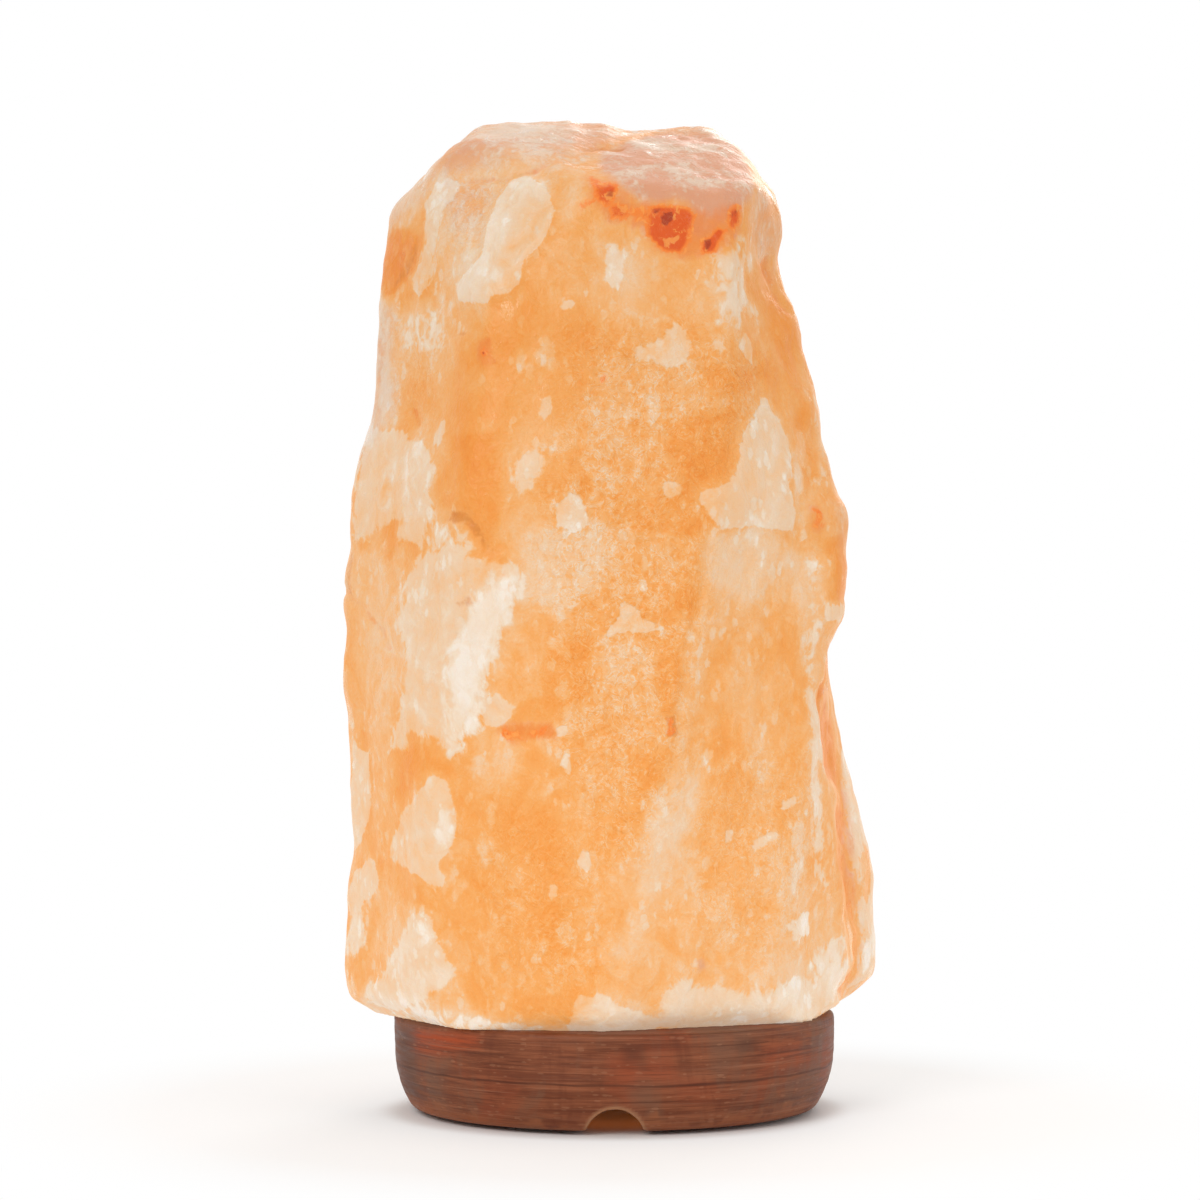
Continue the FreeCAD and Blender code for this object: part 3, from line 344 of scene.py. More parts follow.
# Broad changes of tone, which have no edge of their own. Paler areas are above 0 and deeper ones below.
TONES = {
    "brow": (0.1, 30, 600, 240, 640, 250, 690, 256, 750, 240, 760, 300, 740, 330, 640, 330, 560, 300,
        560, 230),
    "brow_right": (0.03, 20, 700, 250, 745, 240, 750, 330, 716, 330),
    "brow_drop": (0.05, 16, 596, 250, 630, 240, 640, 290, 610, 310),
    "crown": (0.26, 16, 430, 172, 470, 165, 545, 170, 550, 200, 520, 200, 500, 240, 480, 300, 455, 300,
        440, 250, 425, 210),
    "saddle": (0.08, 14, 552, 168, 580, 160, 590, 200, 560, 230),
    "upper_left": (0.22, 16, 392, 310, 440, 300, 452, 340, 440, 380, 400, 372, 388, 340),
    # left_rim paints a paler band along the left silhouette: painted rim light
    "left_rim": (0.3, 14, 356, 300, 392, 298, 396, 420, 384, 440, 340, 470, 350, 400),
    "shoulder": (0.2, 14, 380, 200, 440, 140, 560, 124, 600, 130, 560, 160, 450, 170, 410, 220, 384, 236),
    "hot_left": (-0.12, 14, 480, 300, 540, 286, 532, 340, 508, 375, 468, 362, 476, 330),
    "hot_right": (-0.12, 12, 568, 315, 602, 312, 608, 345, 578, 350),
    "hot_middle": (-0.1, 14, 440, 420, 500, 375, 522, 400, 502, 450, 492, 520, 466, 500, 450, 450),
    "dome_foot": (0.2, 16, 505, 530, 600, 520, 612, 545, 596, 590, 560, 610, 524, 600, 512, 560),
    "left_side": (0.18, 14, 352, 560, 404, 550, 404, 700, 392, 740, 372, 738, 352, 650),
    "beside_streak": (0.12, 12, 508, 570, 522, 600, 512, 660, 498, 700, 486, 700, 500, 640),
    "right_shelf": (0.15, 12, 704, 530, 760, 528, 800, 548, 800, 600, 740, 600, 700, 580),
    "right_field": (0.09, 8, 704, 530, 790, 545, 806, 600, 800, 700, 812, 800, 812, 900, 800, 960, 700, 975,
        612, 990, 634, 912, 646, 862, 652, 808, 674, 771, 681, 716, 690, 637, 704, 583),
    "right_clear": (-0.09, 24, 700, 640, 796, 640, 800, 780, 740, 800, 700, 760),
    "seam": (0.14, 12, 672, 770, 700, 776, 692, 830, 668, 850, 664, 900, 640, 960, 604, 960, 636, 900,
        640, 850, 654, 800),
    "triangle_foot": (0.12, 14, 602, 641, 640, 634, 646, 660, 626, 690, 600, 690, 590, 660),
    "rim_pale": (0.17, 10, 800, 560, 828, 560, 828, 600, 820, 660, 824, 760, 826, 860, 806, 850, 806, 700,
        800, 640),
    "right_low": (0.08, 20, 780, 900, 820, 880, 850, 930, 850, 980, 800, 990, 760, 960),
    "hem": (0.18, 14, 600, 996, 660, 990, 720, 972, 800, 964, 850, 950, 850, 1040, 600, 1040),
    "hem_left": (0.36, 14, 330, 985, 400, 1000, 470, 1010, 500, 1022, 600, 1030, 600, 1050, 330, 1050),
    "left_low": (0.14, 20, 366, 880, 400, 880, 440, 930, 460, 990, 366, 1000),
    "low_middle": (-0.06, 24, 470, 790, 600, 800, 620, 900, 580, 1000, 480, 1000, 456, 900),
    "lobe": (-0.02, 8, 850, 800, 880, 800, 890, 1000, 856, 1000, 870, 940, 856, 880),
}

# Where red mineral stains the salt round its spots
FLUSH = {
    "under_cap": (0.8, 14, 586, 182, 610, 180, 640, 200, 664, 200, 700, 208, 738, 204, 744, 226, 722, 256,
        690, 258, 654, 252, 640, 228, 610, 222, 592, 206),
    "left_brow": (0.5, 14, 384, 230, 420, 232, 412, 270, 396, 296, 380, 290),
    "flame": (0.7, 8, 492, 732, 512, 720, 550, 726, 556, 740, 510, 742),
    # The rim mark follows the right-hand crease: partly the salt's thickness there, partly painted crease
    # shade
    "rim": (0.3, 8, 826, 690, 834, 690, 848, 780, 856, 880, 866, 930, 858, 966, 844, 996, 850, 940,
        842, 880, 836, 790),
    "rim_spot": (0.6, 7, 808, 504, 822, 506, 822, 534, 810, 534),
    "brow_edge": (0.5, 8, 766, 262, 778, 264, 790, 312, 786, 330, 770, 300),
    "freckle": (0.7, 6, 470, 342, 492, 342, 494, 364, 474, 364),
    "patch_edge": (0.6, 5, 408, 408, 414, 408, 420, 422, 418, 430, 410, 418),
}

# Where dull, golden brown marks lie
GOLD = {
    "crack": (1.0, 3, 584, 152, 596, 147, 624, 144, 624, 147, 600, 151),
    "crack_2": (0.7, 3, 640, 134, 656, 129, 676, 130, 674, 133, 656, 133),
    "nick": (0.8, 5, 440, 522, 452, 514, 466, 515, 480, 526, 496, 554, 486, 552, 470, 526, 450, 524),
    "scab": (0.6, 5, 454, 598, 470, 594, 476, 604, 462, 610),
    "cap_spot": (0.7, 4, 704, 134, 712, 136, 710, 142, 703, 140),
    "edge": (0.5, 5, 352, 552, 358, 560, 357, 596, 350, 592),
    "freckle": (0.8, 4, 462, 328, 468, 330, 466, 336, 461, 334),
    "shin": (0.8, 4, 664, 716, 674, 714, 678, 734, 666, 738),
    "brow": (0.6, 5, 392, 284, 404, 262, 416, 240, 421, 243, 410, 266, 396, 292),
}

WHITE = {
    "streak": (0.95, 20, 500, 572, 513, 580, 513, 610, 500, 636, 490, 662, 484, 690, 476, 720, 466, 742,
        454, 757, 446, 740, 446, 715, 448, 690, 448, 668, 458, 648, 470, 620, 474, 598, 484, 582),
    "leaf_tip": (0.5, 12, 482, 268, 504, 262, 508, 284, 488, 292),
    "strip_head": (0.6, 9, 436, 190, 450, 188, 440, 212, 432, 228, 426, 216),
    "leaf_edge": (0.6, 6, 534, 180, 546, 176, 548, 186, 538, 188),
    "right_edge": (0.6, 10, 776, 444, 788, 452, 792, 490, 784, 500, 776, 470),
    "low_glow": (0.8, 8, 438, 806, 452, 806, 456, 836, 446, 848, 438, 836),
    "low_glow_2": (0.55, 10, 412, 918, 432, 922, 438, 944, 420, 950),
    "tooth": (0.7, 4, 800, 914, 812, 912, 810, 934, 800, 934),
    "dome_cap": (0.5, 6, 572, 496, 582, 498, 584, 510, 574, 508),
    "left_glow": (0.35, 18, 372, 462, 420, 458, 424, 500, 380, 520),
    "hem_spot": (0.6, 5, 734, 1016, 748, 1016, 746, 1024, 734, 1023),
}

PINK = {
    "cap": (1.0, 10, 600, 150, 630, 138, 660, 128, 700, 124, 732, 142, 750, 166, 752, 190, 744, 204,
        730, 214, 722, 222, 700, 218, 688, 206, 672, 200, 652, 201, 636, 200, 622, 190, 610, 178, 598, 168),
    "cap_drop": (0.7, 6, 692, 214, 722, 220, 712, 232, 700, 238, 692, 236),
    "crown": (0.75, 20, 452, 132, 520, 118, 600, 118, 640, 124, 600, 150, 560, 164, 520, 160, 480, 164,
        440, 176, 428, 164),
    "brow": (0.45, 12, 440, 178, 480, 176, 500, 196, 480, 230, 456, 240, 444, 220),
    "right_brow": (0.5, 14, 752, 180, 772, 196, 782, 230, 776, 258, 758, 262, 750, 220),
    # The rim and edge marks paint a rosy border along the silhouette: partly the salt's own colour, partly
    # painted rim light and shade
    "left_rim": (0.6, 14, 378, 300, 396, 306, 398, 400, 380, 440, 356, 470, 340, 470, 366, 420, 372, 330),
    "shoulder_rim": (0.5, 14, 380, 200, 430, 160, 440, 172, 404, 220, 384, 240),
    "lobe_rim": (0.4, 12, 866, 880, 882, 900, 886, 990, 866, 1004, 872, 950),
    "speck": (0.8, 5, 696, 962, 704, 960, 706, 968, 698, 970),
    "right_edge": (0.35, 14, 828, 500, 850, 496, 852, 540, 834, 550),
}

DEEP = {
    "left_brow": (1.2, 9, 390, 232, 412, 228, 425, 236, 424, 252, 414, 264, 406, 278, 398, 294, 384, 298,
        380, 280, 380, 250),
    "middle": (0.7, 12, 452, 434, 498, 430, 504, 470, 502, 520, 498, 550, 484, 558, 470, 540, 456, 520,
        438, 512, 432, 480, 444, 456),
    "middle_left": (0.9, 6, 442, 521, 450, 514, 462, 512, 466, 518, 450, 523),
    "middle_top": (0.5, 24, 500, 300, 560, 290, 600, 340, 590, 420, 500, 440, 430, 420, 440, 370, 480, 330),
    "spark": (0.9, 8, 576, 478, 592, 472, 594, 486, 588, 502, 578, 492),
    "crystals": (0.75, 14, 668, 420, 738, 400, 742, 455, 726, 482, 700, 488, 692, 520, 660, 525, 640, 510,
        676, 480, 660, 450),
    "under_crystals": (0.8, 8, 628, 514, 680, 516, 704, 512, 710, 530, 690, 540, 640, 528),
    "ridge_1": (0.7, 9, 680, 580, 700, 586, 702, 612, 690, 622, 668, 606),
    "ridge_2": (0.75, 9, 652, 652, 680, 650, 684, 680, 676, 720, 660, 716, 650, 690),
    "belly": (0.75, 14, 544, 640, 590, 632, 596, 660, 584, 700, 560, 720, 530, 720, 540, 680),
    "low_middle": (0.6, 20, 500, 800, 560, 800, 580, 850, 560, 940, 540, 940, 540, 880, 500, 866, 486, 830),
    "low_right": (0.45, 20, 690, 800, 760, 790, 790, 830, 770, 880, 720, 900, 690, 860),
    "brow_right": (0.75, 14, 700, 362, 744, 366, 772, 350, 786, 380, 780, 420, 760, 384, 744, 396, 720, 400,
        700, 386),
    "rim_top": (0.8, 12, 752, 262, 772, 262, 782, 296, 800, 330, 806, 380, 822, 430, 828, 480, 812, 490,
        796, 440, 784, 380, 768, 330, 756, 300),
    "rim_middle": (0.75, 8, 822, 540, 846, 530, 846, 598, 822, 600, 824, 570),
    # rim_low follows the right-hand crease: partly the salt's thickness there, partly painted crease shade
    "rim_low": (0.85, 6, 829, 640, 838, 640, 832, 690, 840, 730, 850, 770, 846, 850, 856, 900, 866, 930,
        860, 965, 846, 996, 838, 1000, 850, 950, 846, 900, 836, 850, 838, 790, 830, 730, 826, 690),
    "flame": (0.85, 7, 494, 730, 510, 724, 548, 728, 556, 738, 530, 740, 500, 737),
    "flame_up": (0.7, 9, 512, 722, 520, 700, 560, 690, 570, 710, 550, 728),
    "left_low": (0.65, 10, 412, 737, 432, 744, 436, 756, 456, 760, 462, 776, 448, 784, 430, 774, 404, 800,
        394, 776, 396, 756),
    "left_low_2": (0.6, 10, 396, 872, 424, 882, 432, 898, 444, 912, 420, 912, 394, 900),
    "left_edge": (0.55, 9, 366, 900, 380, 902, 376, 930, 366, 960, 358, 966, 362, 940),
    "left_ochre": (0.5, 8, 386, 524, 412, 513, 402, 530, 396, 560, 386, 592, 381, 560),
    "left_flank": (0.45, 14, 346, 555, 376, 560, 384, 600, 372, 660, 350, 690, 342, 640),
    "hem": (0.6, 10, 640, 996, 670, 990, 678, 1006, 650, 1014),
    "hem_2": (0.5, 10, 520, 990, 562, 992, 566, 1014, 530, 1020, 500, 1004),
    "patch_edge": (0.7, 5, 408, 408, 414, 408, 420, 422, 418, 430, 410, 418),
    "right_hollow": (0.5, 10, 746, 632, 770, 628, 782, 648, 770, 690, 750, 680, 742, 656),
}

RED = {
    "spot_1": (1.1, 6, 594, 187, 606, 183, 619, 186, 614, 198, 604, 207, 596, 200),
    "spot_2": (0.7, 4, 584, 206, 592, 202, 594, 206, 586, 209),
    "bridge": (0.5, 8, 612, 202, 650, 208, 652, 218, 628, 224, 612, 214),
    "bridge_spot": (0.9, 4, 620, 214, 632, 213, 634, 221, 622, 223),
    "heart": (1.15, 6, 650, 212, 654, 203, 670, 206, 691, 210, 697, 216, 690, 236, 684, 250, 668, 251,
        656, 244, 647, 232),
    "heart_top": (1.1, 5, 650, 208, 656, 203, 676, 207, 690, 212, 680, 222, 664, 230, 654, 224),
    "chip_1": (0.8, 4, 610, 210, 620, 208, 624, 218, 614, 222),
    "chip_2": (0.7, 4, 582, 204, 590, 200, 592, 206, 584, 210),
    "chip_3": (0.8, 4, 656, 236, 668, 238, 670, 250, 658, 250),
    "chip_4": (0.7, 4, 590, 180, 598, 178, 600, 186, 592, 188),
    "spot_3": (1.1, 5, 716, 224, 726, 229, 720, 240, 718, 254, 702, 253, 699, 241, 708, 235),
    "spot_4": (1.1, 5, 730, 207, 739, 206, 740, 222, 733, 230, 727, 223),
    "freckle_1": (0.85, 4, 478, 352, 484, 350, 487, 356, 480, 360),
    "freckle_2": (0.5, 4, 461, 329, 466, 328, 467, 333, 462, 333),
    "freckle_3": (0.8, 6, 812, 508, 819, 510, 820, 526, 814, 526),
    "freckle_4": (0.7, 4, 666, 717, 672, 718, 676, 732, 666, 734),
    "freckle_5": (0.5, 5, 446, 254, 452, 250, 448, 260, 443, 260),
    "freckle_6": (0.55, 6, 600, 376, 606, 374, 605, 382, 600, 382),
    "freckle_7": (0.4, 7, 803, 762, 812, 762, 810, 774, 804, 776),
    "flame": (0.8, 5, 496, 731, 520, 732, 544, 730, 538, 737, 504, 737),
}

# The dark middles of the red spots
CORE = {
    "heart_1": (1.0, 3, 662, 216, 670, 213, 674, 220, 668, 227, 661, 224),
    "heart_2": (0.6, 4, 654, 208, 664, 206, 664, 210, 655, 212),
    "heart_3": (0.5, 4, 656, 238, 668, 238, 668, 246, 658, 246),
    "heart_4": (0.4, 4, 680, 244, 688, 246, 686, 250, 680, 250),
    "spot_1": (0.6, 4, 605, 187, 616, 188, 612, 197, 605, 196),
    "spot_3": (0.8, 4, 704, 238, 716, 234, 714, 249, 704, 250),
    "heart_5": (0.6, 4, 652, 206, 660, 204, 658, 214, 651, 214),
    "spot_4": (0.7, 3, 732, 209, 738, 209, 737, 216, 732, 217),
    "freckle_1": (0.5, 3, 479, 352, 484, 352, 484, 357, 480, 357),
    "flank": (0.4, 3, 668, 720, 671, 720, 673, 730, 669, 731),
}

# Where the surface is a crust of small glassy crystals
CRUST = {
    "middle": (1.0, 30, 570, 330, 690, 330, 760, 360, 740, 450, 700, 490, 704, 590, 690, 640, 676, 770,
        640, 860, 600, 860, 560, 740, 560, 640, 540, 540, 570, 440),
    "low_right": (0.6, 30, 720, 760, 810, 760, 816, 880, 770, 960, 700, 940, 700, 820),
    "low_middle": (0.6, 30, 500, 800, 600, 840, 610, 960, 560, 1000, 500, 960, 480, 860),
    "brow": (0.7, 16, 456, 176, 500, 170, 512, 200, 484, 240, 452, 250, 446, 216),
    "left": (0.4, 24, 400, 330, 440, 340, 430, 420, 396, 400),
}

# Bulges and hollows: (height in millimetres, softness of the edge in pixels, the outline)
BULGES = {
    "dip": (-1.6, 14, 612, 112, 700, 112, 700, 134, 618, 140),
    "crown": (1.5, 14, 476, 108, 576, 108, 576, 134, 476, 140),
    "cap": (1.6, 22, 612, 160, 640, 146, 690, 140, 730, 150, 746, 186, 724, 206, 690, 200, 650, 190,
        620, 180),
    "brow_edge": (1.6, 14, 756, 186, 790, 186, 790, 250, 764, 246),
    "brow_low": (1.2, 12, 770, 300, 800, 300, 806, 340, 784, 340),
    "waist": (-1.8, 16, 800, 424, 850, 424, 850, 500, 806, 500),
    "hip": (1.5, 14, 820, 560, 850, 560, 850, 622, 826, 622),
    "flank": (-1.2, 16, 806, 640, 850, 640, 850, 790, 816, 790),
    "lobe": (0.4, 14, 846, 800, 886, 800, 886, 930, 856, 930),
    "toe": (1.2, 14, 836, 930, 900, 930, 900, 975, 836, 975),
    "toe_foot": (2.4, 10, 826, 1000, 900, 1000, 900, 1030, 826, 1030),
    "left_waist": (1.2, 16, 330, 560, 366, 560, 366, 620, 330, 620),
    "left_flank": (-1.4, 20, 330, 700, 372, 700, 372, 860, 330, 860),
    "left_brow": (0.9, 16, 370, 250, 400, 250, 400, 310, 370, 310),
    "left_toe": (1.2, 12, 340, 986, 380, 986, 380, 1024, 340, 1024),
    "leaf": (0.7, 5, 534, 176, 548, 190, 556, 208, 555, 222, 543, 242, 525, 264, 521, 282, 508, 294,
        484, 304, 460, 304, 457, 288, 470, 270, 480, 256, 482, 240, 492, 222, 505, 198, 516, 180),
    "right_patch": (0.5, 6, 762, 402, 778, 432, 792, 500, 794, 530, 720, 527, 699, 491, 734, 474, 742, 435),
    "streak": (0.5, 8, 500, 574, 514, 582, 513, 610, 490, 662, 476, 720, 454, 757, 444, 730, 448, 668,
        470, 620),
}

# Creases and ledges: (depth in millimetres, half width in pixels, the line)
CREASES = {
    "rim": (2.0, 7, 829, 690, 836, 740, 846, 790, 849, 850, 856, 900, 864, 930, 859, 965, 848, 995),
    "crack": (0.8, 2.5, 584, 151, 600, 148, 622, 146),
    "crack_2": (0.5, 2.5, 640, 133, 656, 130, 676, 131, 684, 140),
    "ledge": (1.0, 5, 469, 178, 490, 177, 505, 180, 530, 174, 545, 164),
    "leaf_ridge": (-0.6, 4, 482, 236, 492, 222, 505, 200, 514, 186),
    "step": (0.5, 5, 699, 491, 704, 512, 709, 542, 702, 583, 688, 637, 679, 716, 672, 771, 650, 807,
        643, 862, 632, 913, 614, 985),
    "brow_edge": (1.1, 6, 770, 262, 778, 292, 788, 312),
    "left_nick": (0.8, 5, 350, 590, 364, 612, 384, 630, 392, 650),
    "middle_nick": (0.8, 4, 440, 521, 462, 514, 480, 526, 492, 556),
    "flank_nick": (0.8, 5, 408, 408, 420, 424),
    "cap_curl": (0.5, 4, 700, 168, 716, 172, 724, 184),
}

SCRATCHES = {
    f"tool_{i}": (0.25, 1.6, 766 + 7 * i, 1002 - 3 * i, 790 + 7 * i, 982 - 3 * i) for i in range(4)
}


def photo_places(places):
    """Where points near the front of the rock lie in the photograph, in pixels."""
    away = places[:, 1] - CAMERA.y
    right = PHOTO_MIDDLE + FOCAL_PIXELS * (places[:, 0] - CAMERA.x) / away
    down = PHOTO_MIDDLE - FOCAL_PIXELS * (places[:, 2] - CAMERA.z) / away
    return right, down


def line_distance(x, y, line, closed=False):
    """How far points lie from a line. Inside a closed line the distance is negative."""
    nearest = np.full(x.shape, np.inf)
    inside = np.zeros(x.shape, bool)
    points = list(zip(line[::2], line[1::2]))
    ends = points[1:] + points[:1] if closed else points[1:]
    for (ax, ay), (bx, by) in zip(points, ends):
        run, rise = bx - ax, by - ay
        share = np.clip(((x - ax) * run + (y - ay) * rise) / (run**2 + rise**2), 0, 1)
        nearest = np.minimum(nearest, (x - ax - share * run) ** 2 + (y - ay - share * rise) ** 2)
        if closed and rise:
            inside ^= ((ay > y) != (by > y)) & (x < ax + run * (y - ay) / rise)
    return np.sqrt(nearest) * np.where(inside, -1, 1)


def areas(x, y, table):
    """The value of each area in a table, and where it is, from 0 outside to 1 inside."""
    for value, softness, *outline in table.values():
        yield value, smooth_step(softness, -softness, line_distance(x, y, outline, closed=True))


def marked(x, y, marks):
    """How strongly the marks cover each point, from 0 to 1."""
    return functools.reduce(np.maximum, (strength * inside for strength, inside in areas(x, y, marks)))


def toned(x, y, tones):
    """How much paler, or deeper, the areas make each point."""
    return sum(change * inside for change, inside in areas(x, y, tones))


def bulging(x, y, bulges):
    """How high the bulges stand at each point, in metres."""
    return sum(rise * MM * inside for rise, inside in areas(x, y, bulges))


def creased(x, y, creases):
    """How deep the creases are at each point, in metres."""
    depth = np.zeros(x.shape)
    for deep, width, *line in creases.values():
        depth += deep * MM * np.exp(-((line_distance(x, y, line) / width) ** 2))
    return depth


# How brightly the salt glows at its foot, near the bulb, and at its top, and how much light its surface
# turns back
GLOW_LOW, GLOW_HIGH = 0.5, 0.36
SURFACE = 0.5

# The tone of clear orange salt, and the colours of the salt by their tones
CLEAR = 0.45
SALT_COLOURS = (
    (0.0, (0.87, 0.27, 0.035)),
    (0.2, (0.90, 0.33, 0.06)),
    (0.4, (0.91, 0.40, 0.11)),
    (0.55, (0.91, 0.47, 0.185)),
    (0.7, (0.89, 0.55, 0.30)),
    (0.85, (0.87, 0.61, 0.395)),
    (1.0, (0.88, 0.69, 0.51)),
    (1.25, (0.92, 0.81, 0.69)),
)


ROCK_VOXEL = 1.3 * MM
RELAX_ROUNDS = 26  # rounds of smoothing, which wear down the solid's edges


def make_rock():
    """The rock: a fine copy of the hewn solid, weathered, with the marks that its colours come from."""
    rock = remeshed("rock", "salt_crystal", ROCK_VOXEL)
    mesh = rock.data
    places = coordinates(mesh)
    reach = np.hypot(places[:, 0], places[:, 1])
    lift = places[:, 2] - ROCK_LOW.z
    in_bore = smooth_step(2 * MM, 5 * MM, np.maximum(reach - BORE_RADIUS, places[:, 2] - BORE_TOP))
    free = in_bore * smooth_step(0.5 * MM, 5 * MM, lift)
    places = relaxed(mesh, places, RELAX_ROUNDS, 0.5 * free)
    set_coordinates(mesh, places)

    x, y = photo_places(places)
    wander = noise_field(places, 9 * MM, 1), noise_field(places, 9 * MM, 2)
    ragged = noise_field(places, 3.2 * MM, 3), noise_field(places, 3.2 * MM, 4)
    edge_x, edge_y = (v + 5 * w + 2.5 * r for v, w, r in zip((x, y), wander, ragged))
    front = smooth_step(12 * MM, -6 * MM, places[:, 1])
    around = 1 - front
    patchy = noise_field(places, 26 * MM, 11, (1, 1, 1.5), 3)
    veined = noise_field(places, 30 * MM, 12, (1, 1, 1.8), 3)
    high = smooth_step(0.17, 0.25, places[:, 2])
    fields = {
        "pale": (PALE, smooth_step(0.02, 0.16, patchy) * 0.85),
        "white": (WHITE, smooth_step(0.28, 0.5, patchy) * 0.8),
        "pink": (PINK, np.maximum(0.6 * high, smooth_step(0.3, 0.5, veined) * 0.4)),
        "deep": (DEEP, smooth_step(0.1, 0.3, veined) * 0.7),
        "red": (RED, smooth_step(0.6, 0.8, noise_field(places, 15 * MM, 13, (1, 1, 1.2), 3))),
        "core": (CORE, 0.0),
        "stain_and_crease_shade": (FLUSH, smooth_step(0.3, 0.6, noise_field(places, 22 * MM, 15, (1, 1, 1.4), 3)) * 0.45),
        "crust": (CRUST, smooth_step(-0.1, 0.3, noise_field(places, 40 * MM, 14))),
    }
    creases = creased(edge_x, edge_y, CREASES)
    cover = {}
    for name, (marks, elsewhere) in fields.items():
        cover[name] = front * marked(edge_x, edge_y, marks) + around * elsewhere
    # Deeper red-orange along the creases: partly the salt's thickness there, partly painted crease shade
    cover["stain_and_crease_shade"] = np.maximum(cover["stain_and_crease_shade"], front * 0.5 * smooth_step(0.2 * MM, 1.2 * MM, creases))
    cover["gold"] = front * marked(edge_x, edge_y, GOLD)
    lumps = noise_field(places, 13 * MM, 16, (1, 1, 1.4), 2)
    cover["tone"] = CLEAR + front * (toned(edge_x, edge_y, TONES) + 0.06 * lumps)
    cover["tone"] += around * (0.16 * lumps + 0.2 * smooth_step(-0.1, 0.4, veined))
    for name, values in cover.items():
        store(mesh, name, values)

    facets = 0.55 * crystal_field(places, 19 * MM, 21, (1, 1, 1.6))
    relief = 1.0 * noise_field(places, 34 * MM, 22, (1, 1, 1.7), 2)
    relief += 0.55 * noise_field(places, 10 * MM, 23, (1, 1, 1.4), 2)
    relief += 0.2 * noise_field(places, 3.8 * MM, 24, (1, 1, 1.6), 2)
    relief += facets - 0.1
    relief += 0.35 * cover["pale"] - 0.3 * cover["deep"]
    relief += cover["pink"] * high * 0.8 * (crystal_field(places, 9 * MM, 26) - 0.35)
    relief += cover["crust"] * 0.4 * (crystal_field(places, 4.2 * MM, 25) - 0.35)
    turned_forward = smooth_step(32 * MM, 8 * MM, places[:, 1])
    relief = relief * MM + turned_forward * bulging(x, y, BULGES)
    relief -= front * (creases + creased(x, y, SCRATCHES))
    places = places + coordinates(mesh, "normal") * (relief * free)[:, None]
    places[:, 2] = np.maximum(places[:, 2], ROCK_LOW.z)
    set_coordinates(mesh, places)
    mesh.materials.append(rock_salt())
    return rock


